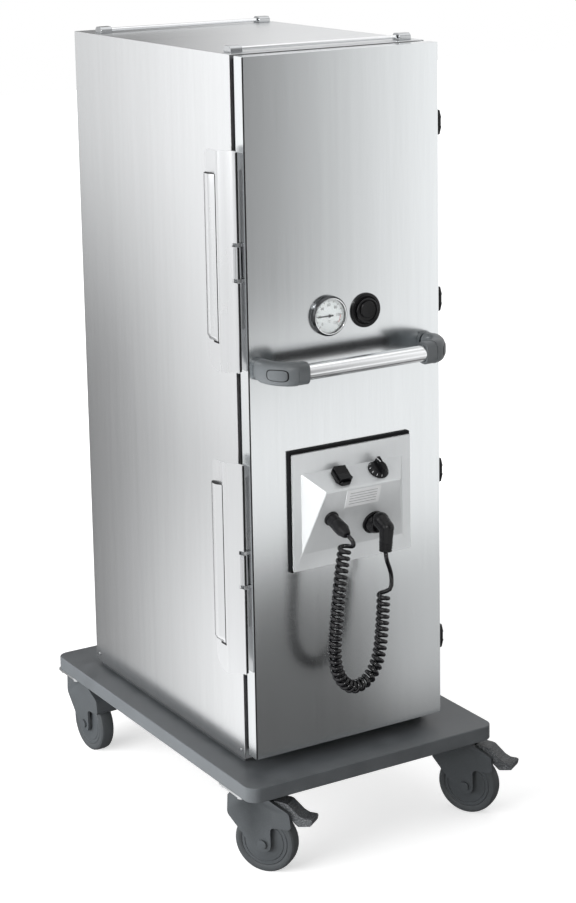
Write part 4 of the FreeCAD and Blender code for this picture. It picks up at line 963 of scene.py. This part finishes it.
def makeBracket(side, c):
    at, (endPoint, endRun) = bracketSurface(c, side)
    angles = [2 * math.pi * k / c["sides"] for k in range(c["sides"])]
    shares = sorted([k / c["steps"] for k in range(c["steps"] + 1)]
                    + [groove + shift / c["steps"] for groove in c["grooves"] for shift in (-0.5, 0, 0.5)])
    rings = [[at(s, a) for a in angles] for s in shares[:-1]]
    rings.append([at(1.0, a, -c["endFall"]) for a in angles])
    across = skyward.cross(endRun).normalized() * side
    for radius, back in c["collar"]:
        rings.append([endPoint - endRun * back * mm + (across * math.cos(a) + skyward * math.sin(a)) * radius * mm
                      for a in angles])
    parts = [inMaterial(loftMesh("arm", rings), bracketGrey)]
    # a soft square cap with a black ring round it, painted shade for the groove round the cap
    middle, halfShare, halfAngle = c["cap"]
    for lift, grow, material in c["capLayersWithShadeRing"]:
        layers = []
        for scale, rise in ((grow, -0.6), (grow, lift * 0.6), (grow * 0.96, lift), (grow * 0.6, lift),
                            (grow * 0.2, lift)):
            layer = []
            for k in range(c["capSides"]):
                a = 2 * math.pi * k / c["capSides"]
                u, v = math.cos(a), math.sin(a)
                square = (abs(u) ** 4 + abs(v) ** 4) ** -0.25 * scale
                layer.append(at(middle + halfShare * square * u, halfAngle * square * v, rise))
            layers.append(layer)
        parts.append(inMaterial(loftMesh("cap", layers), material))
    return parts


bracketParts = makeBracket(-1, handleBracket) + makeBracket(1, handleBracket)
settle(addObject("handle_brackets_finished", joinedMesh("brackets", bracketParts)), "handle_brackets")
print("handle made")

# the case's side walls, the inner wall round the dial among them, get the dark material as painted shade
dressTwoTone("thermometer_case", bezelChrome, 0.4, 2, bezelShade, lambda normal: abs(normal.y) < 0.85)
paint("thermometer_dial", dialWhite)
paint("thermometer_glass", dialGlass)
dress("thermometer_needle", markBlack, 0.2, 2)
dress("vent_rosette", blackPlastic, 0.6, 2)
# the scale's bars as count, radius, start, sweep, length, width and thickness
dialLook = {"place": (-40, -3.87, 1077), "numbers": range(0, 121, 20), "start": 225.0, "sweep": -270.0,
            "bars": ((markBlack, 61, 29.6, 225.0, -270.0, 3.2, 0.5, 0.1),
                     (markBlack, 13, 28.6, 225.0, -270.0, 5.2, 1.0, 0.12),
                     (markRed, 22, 25.4, -2, -32, 1.1, 0.7, 0.12)),
            "numberRadius": 20.8, "numberTall": 5.4, "unitTall": 4.6, "unitDown": -11, "printDeep": 0.1}
ventLook = {"place": (44, 0, 1077), "buttonUp": 2.6,
            "rim": [(0, 3.4), (24.4, 3.4), (24.4, 9), (23.2, 10.6), (21.4, 11), (20, 10.4), (19.4, 8.6), (0, 8.2)],
            "button": [(0, 7.8), (16.4, 7.8), (16.4, 11), (15.2, 12), (12, 12), (0, 11.2)]}
facing = frameOf(frontward)


def makeDialMarks(c):
    marks = [barMarks(ringTree, material, count=count, radius=radius, start=start, sweep=sweep, length=length,
                      width=width, thickness=thickness, height=0.0, tilt=0)
             for material, count, radius, start, sweep, length, width, thickness in c["bars"]]
    for number in c["numbers"]:
        angle = math.radians(c["start"] + c["sweep"] * number / c["numbers"][-1])
        spot = Vector((math.cos(angle), math.sin(angle), 0)) * c["numberRadius"] * mm
        marks.append(placed(textMesh(str(number), c["numberTall"], c["printDeep"], markBlack), spot))
    unit = textMesh("°C", c["unitTall"], c["printDeep"], markBlack)
    marks.append(placed(unit, Vector((0, c["unitDown"] * mm, 0))))
    mesh = placed(joinedMesh("dialMarks", marks), doorPoint(*c["place"]), facing)
    addRider("dial_marks", mesh, "door")


def makeVentKnob(c):
    rim = inMaterial(latheMesh("rim", c["rim"], 72), blackPlastic)
    button = inMaterial(latheMesh("button", c["button"], 64), blackPlastic)
    placed(button, Vector((0, c["buttonUp"] * mm, 0)))
    mesh = placed(joinedMesh("vent", [rim, button]), doorPoint(*c["place"]), facing)
    settle(addObject("vent_knob_finished", mesh), "vent_knob")


makeDialMarks(dialLook)
makeVentKnob(ventLook)
print("dial and vent made")

moduleRim = {"sealFront": 6.4, "sealWider": (2.0, 4.0), "sealEdge": 0.8, "outline": (-130.5, 137.5, 590, 820),
             "depth": (6.1, 10.6), "wall": 2.2, "edge": 0.5}


def makeModuleRim(c):
    # the plate's folded edge, in front of a seal that is drawn back behind it
    left, right, low, high = c["outline"]
    back, front = c["depth"]
    wider, taller = c["sealWider"]
    seal = inMaterial(mergedCopy("module_seal"), sealRubber)
    corner = doorPoint(left, 0, high)
    for vertex in seal.vertices:
        vertex.co.y = max(vertex.co.y, faceY - c["sealFront"] * mm)
        vertex.co.x -= wider * mm if vertex.co.x < corner.x else 0
        vertex.co.z += taller * mm if vertex.co.z > corner.z else 0
    piece = addObject("module_seal_finished", seal)
    addBevel(piece, c["sealEdge"], 2)
    settle(piece, "module_seal")
    sides = [prismMesh("side", [(x0, -front), (x1, -front), (x1, -back), (x0, -back)], z0, z1)
             for x0, x1, z0, z1 in ((left, left + c["wall"], low, high), (right - c["wall"], right, low, high),
                                    (left, right, low, low + c["wall"]), (left, right, high - c["wall"], high))]
    rim = joinedMesh("rim", sides)
    rim.materials.clear()
    placed(inMaterial(rim, steelModule), doorPoint(0, 0, 0))
    addBevel(addRider("module_rim", rim, "door"), c["edge"], 2)


makeModuleRim(moduleRim)
dress("module_frame", steelModule, 0.8, 3)
dress("label_plate", labelSilver, 0.2, 2)
dress("switch_boot", blackSatin, 1.0, 3)
dress("switch_rocker", blackPlastic, 1.0, 3)
dress("thermostat_knob", blackSatin, 0.6, 2)
# the hood's lower face looks down a little and carries the label and the gland
hoodNormal = Vector((0, -0.9517, -0.3072))
labelLines = {"count": 5, "wide": 0.8, "margin": 1.5, "lineWidth": 0.9, "thickness": 0.2, "forward": 0.75}
knobMarks = {"place": (51, -28.9, 766.5), "normal": (0, -0.603, 0.798), "turn": 20.0,
             "bars": {"count": 11, "radius": 18.7, "start": 240, "sweep": -300, "length": 4.2, "width": 0.9,
                      "thickness": 0.25, "height": 6.12, "tilt": 58.6},
             "pointer": [(-0.9, 3), (-0.9, 15.4), (0.9, 15.4), (0.9, 3)], "pointerZ": (22.02, 22.25)}
glandLook = {"place": (-60, -33.3, 691), "segments": 56,
             "profile": [(0, 0.1), (15, 0.1), (15, 3.2), (14.2, 4.4), (12.7, 5), (12.7, 19), (11.9, 19.8),
                         (11.9, 21.6), (13.1, 22.4), (13.4, 24), (13.4, 42), (12.9, 44), (10.8, 50), (9.4, 55),
                         (7.2, 58.6), (4.6, 60), (0, 60)]}


def makeLabelLines(c):
    # ruled lines where the plate's print would be
    low, high = [Vector(v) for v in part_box("label_plate")]
    wide, tall = (high.x - low.x) / mm, (high.z - low.z) / mm / -hoodNormal.y
    lines = barMarks(rowTree, markGrey, count=c["count"], gap=tall / (c["count"] + c["margin"]),
                     length=wide * c["wide"], width=c["lineWidth"], thickness=c["thickness"])
    spot = (low + high) / 2 + hoodNormal * c["forward"] * mm
    addRider("label_lines", placed(lines, spot, frameOf(hoodNormal)), "door")


def makeKnobMarks(c):
    turn = frameOf(Vector(c["normal"])) @ Matrix.Rotation(math.radians(c["turn"]), 4, "Z")
    bars = barMarks(ringTree, markWhite, **c["bars"])
    pointer = inMaterial(prismMesh("pointer", c["pointer"], *c["pointerZ"]), markWhite)
    mesh = placed(joinedMesh("knobMarks", [bars, pointer]), doorPoint(*c["place"]), turn)
    addRider("knob_marks", mesh, bodyOfNode["thermostat_knob"])


def makeGland(c):
    gland = inMaterial(latheMesh("gland", c["profile"], c["segments"]), blackSatin)
    piece = addObject("cable_gland_finished", placed(gland, doorPoint(*c["place"]), frameOf(hoodNormal)))
    settle(piece, "cable_gland")


makeLabelLines(labelLines)
makeKnobMarks(knobMarks)
makeGland(glandLook)
dress("parking_socket", blackSatin, 0.8, 2)
for name in ("fan_cover", "fan_motor", "fan_wheel"):
    dress(name, zincPlate, 0.3, 2)
paint("heater_ring", heaterSteel)
print("door dressed")

# in mm: three columns of screws on the back, at these heights above its lower edge,
# and two rivets on each side panel
screwRows = {"inset": 9.0, "heights": (30, 360, 690, 1020), "fromTop": 30, "radius": 3.4, "rise": 1.2, "lift": 0.3,
             "rivetRadius": 2.6, "rivetInset": 14, "rivetUp": 16}


def makeScrews(c):
    low, high = [Vector(v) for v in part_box("back_panel")]
    inset = c["inset"] * mm
    heights = [low.z + up * mm for up in c["heights"]] + [high.z - c["fromTop"] * mm]
    points = [Vector((x, high.y + c["lift"] * mm, z))
              for x in (low.x + inset, (low.x + high.x) / 2, high.x - inset) for z in heights]
    addStuds("back_screws", points, (0, 1, 0), c["radius"], c["rise"])
    for name, side in (("left", -1), ("right", 1)):
        low, high = [Vector(v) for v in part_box(f"side_panel_{name}")]
        x = (low.x if side < 0 else high.x) + side * c["lift"] * mm
        points = [Vector((x, y, low.z + c["rivetUp"] * mm))
                  for y in (low.y + c["rivetInset"] * mm, high.y - c["rivetInset"] * mm)]
        addStuds(f"side_rivets_{name}", points, (side, 0, 0), c["rivetRadius"], c["rise"])


makeScrews(screwRows)
print("screws made")

# what polished metal sees of the floor, as ranges in metres and the brightness at their two ends:
# beside the cabinet it pales towards the front, ahead it starts dark, behind and to the right it is plain and pale
studio = {"floorSize": 24.0, "floorColour": 0.80, "floorGlow": 0.52, "whiteFrom": (0.8, 2.4),
          "worldDiffuse": 0.5, "worldSeen": 0.9,
          "besideSlant": (0.255, 1.9), "beside": (-0.40, 0.42, 1.42, 0.20), "besideFar": (-1.7, -0.8, 0.70, 1.0),
          "farAhead": (-2.35, -1.95, 1.08, 0.14), "doorSlant": 0.64, "streak": (-0.06, 0.12, 0.0, 0.72),
          "streakDepth": (-1.0, -0.7, 1.0, 0.2), "rightFrom": (0.4, 0.7), "behindFrom": (0.55, 0.85),
          "pastDoor": (-0.42, -0.25), "leftTo": (-0.5, -0.3)}


def mirroredFloor(tree, place, c):
    shift, steep = c["besideSlant"]
    slant = plus(tree, place["Y"], times(tree, plus(tree, place["X"], shift), steep))
    beside = times(tree, rangeNode(tree, slant, *c["beside"]), rangeNode(tree, place["X"], *c["besideFar"]))
    doorX = plus(tree, place["X"], times(tree, mathNode(tree, "SUBTRACT", place["Y"], faceY), c["doorSlant"]))
    streak = times(tree, rangeNode(tree, doorX, *c["streak"]), rangeNode(tree, place["Y"], *c["streakDepth"]))
    ahead = mathNode(tree, "MAXIMUM", rangeNode(tree, place["Y"], *c["farAhead"]), streak)
    away = mathNode(tree, "MAXIMUM", rangeNode(tree, place["X"], *c["rightFrom"], 0.0, 1.0),
                    rangeNode(tree, place["Y"], *c["behindFrom"], 0.0, 1.0))
    plain = times(tree, away, rangeNode(tree, place["Y"], *c["pastDoor"], 0.0, c["floorColour"]))
    mix = addNode(tree, "ShaderNodeMix", data_type="FLOAT")
    left = rangeNode(tree, place["X"], *c["leftTo"], 1.0, 0.0)
    feed(tree, mix, Factor=left, A=mathNode(tree, "MAXIMUM", ahead, plain), B=beside)
    return mix.outputs[0]


def makeFloor(c):
    half = c["floorSize"] / 2
    corners = [(-half, -half, 0), (half, -half, 0), (half, half, 0), (-half, half, 0)]
    material, tree, shader = newMaterial("studioFloor")
    path = addNode(tree, "ShaderNodeLightPath").outputs
    place = separate(tree, objectPlace(tree))
    # the camera sees it turn white further out, where no shadow falls
    reach = mathNode(tree, "SQRT", plus(tree, times(tree, place["X"], place["X"]),
                                        times(tree, place["Y"], place["Y"])))
    seen = times(tree, mathNode(tree, "MAXIMUM", path["Is Camera Ray"], path["Is Transmission Ray"]),
                 rangeNode(tree, reach, *c["whiteFrom"], c["floorGlow"], 1.0))
    mirrored = times(tree, path["Is Glossy Ray"], mirroredFloor(tree, place, c))
    level = times(tree, mathNode(tree, "SUBTRACT", 1.0, path["Is Glossy Ray"]), c["floorColour"])
    feed(tree, shader, Base_Color=greyColour(tree, level), Emission_Color=(1, 1, 1, 1),
         Emission_Strength=plus(tree, seen, mirrored), Roughness=0.9, Specular_IOR_Level=0.0)
    mesh = inMaterial(meshFrom("studioFloor", corners, [(0, 1, 2, 3)]), material)
    addObject("studioFloor", mesh)


def makeWorld(c):
    world = bpy.data.worlds.new("studioWorld")
    world.use_nodes = True
    tree = world.node_tree
    path = addNode(tree, "ShaderNodeLightPath").outputs
    level = c["worldDiffuse"]
    for ray, seen in (("Is Camera Ray", 1.0), ("Is Glossy Ray", c["worldSeen"]), ("Is Transmission Ray", 1.0)):
        level = plus(tree, level, times(tree, path[ray], seen - c["worldDiffuse"]))
    feed(tree, tree.nodes["Background"], Color=(1, 1, 1, 1), Strength=level)
    scene.world = world


# cards that only polished metal sees, each with a brightness at both ends of its span, low down and high up
reflectionCards = {
    "cardAhead": {"corners": [(0.1, -1.95, 0.0), (2.4, -1.75, 0.0), (2.4, -1.75, 2.6), (0.1, -1.95, 2.6)],
                  "axis": "X", "span": (0.6, 1.3), "rise": (0.46, 0.72), "near": (1.24, 0.25),
                  "far": (1.26, 1.44)},
    "cardBehind": {"corners": [(-1.8, 1.6, 0.0), (-1.8, 4.6, 0.0), (-1.8, 4.6, 2.6), (-1.8, 1.6, 2.6)],
                   "axis": "Y", "span": (2.45, 3.35), "rise": (0.0, 0.9), "near": (1.40, 1.55),
                   "far": (0.06, 0.80)},
    "cardBeyond": {"corners": [(1.0, 6.0, 1.4), (7.0, 6.0, 1.4), (7.0, 6.0, 6.0), (1.0, 6.0, 6.0)],
                   "axis": "X", "span": (2.7, 3.6), "rise": (2.0, 4.0), "near": (0.16, 0.16),
                   "far": (1.0, 1.0)}}


def makeCard(name, c):
    piece = addObject(name, meshFrom(name, c["corners"], [(0, 1, 2, 3)]))
    material = bpy.data.materials.new(name)
    material.use_nodes = True
    tree = material.node_tree
    tree.nodes.clear()
    place = separate(tree, objectPlace(tree))
    near, far = (rangeNode(tree, place["Z"], *c["rise"], *c[end]) for end in ("near", "far"))
    strength = rangeNode(tree, place[c["axis"]], *c["span"], near, far)
    glow = feed(tree, addNode(tree, "ShaderNodeEmission"), Strength=strength)
    feed(tree, addNode(tree, "ShaderNodeOutputMaterial"), Surface=glow.outputs[0])
    piece.data.materials.append(material)
    for ray in ("camera", "diffuse", "transmission", "volume_scatter", "shadow"):
        setattr(piece, "visible_" + ray, False)


# one lamp is only for glints, and lowLeft only lights dull sides
studioLamps = {
    "keyLeft": {"place": (-3.4, -1.0, 2.2), "target": (0, 0, 0.6), "size": (2.4, 2.4), "power": 33, "hidden": ()},
    "topSoft": {"place": (0.2, -0.3, 4.2), "target": (0, 0, 0.8), "size": (3.2, 3.2), "power": 24, "hidden": ()},
    "glints": {"place": (-2.0, -3.7, 3.0), "target": (0, -0.35, 0.7), "size": (0.5, 0.5), "power": 55,
               "hidden": ("diffuse",)},
    "lowLeft": {"place": (-1.6, 0.1, 0.34), "target": (0, 0.1, 0.18), "size": (2.0, 0.2), "power": 46,
                "hidden": ("glossy", "camera")}}


def makeLamp(name, c):
    data = bpy.data.lights.new(name, "AREA")
    data.shape = "RECTANGLE"
    data.size, data.size_y = c["size"]
    data.energy = c["power"]
    lamp = bpy.data.objects.new(name, data)
    turn = (Vector(c["target"]) - Vector(c["place"])).normalized().to_track_quat("-Z", "Y")
    lamp.matrix_world = Matrix.Translation(c["place"]) @ turn.to_matrix().to_4x4()
    for ray in c["hidden"]:
        setattr(lamp, "visible_" + ray, False)
    scene.collection.objects.link(lamp)


makeFloor(studio)
makeWorld(studio)
for name, card in reflectionCards.items():
    makeCard(name, card)
for name, lamp in studioLamps.items():
    makeLamp(name, lamp)
scene.view_settings.view_transform = "Standard"
print("studio made")
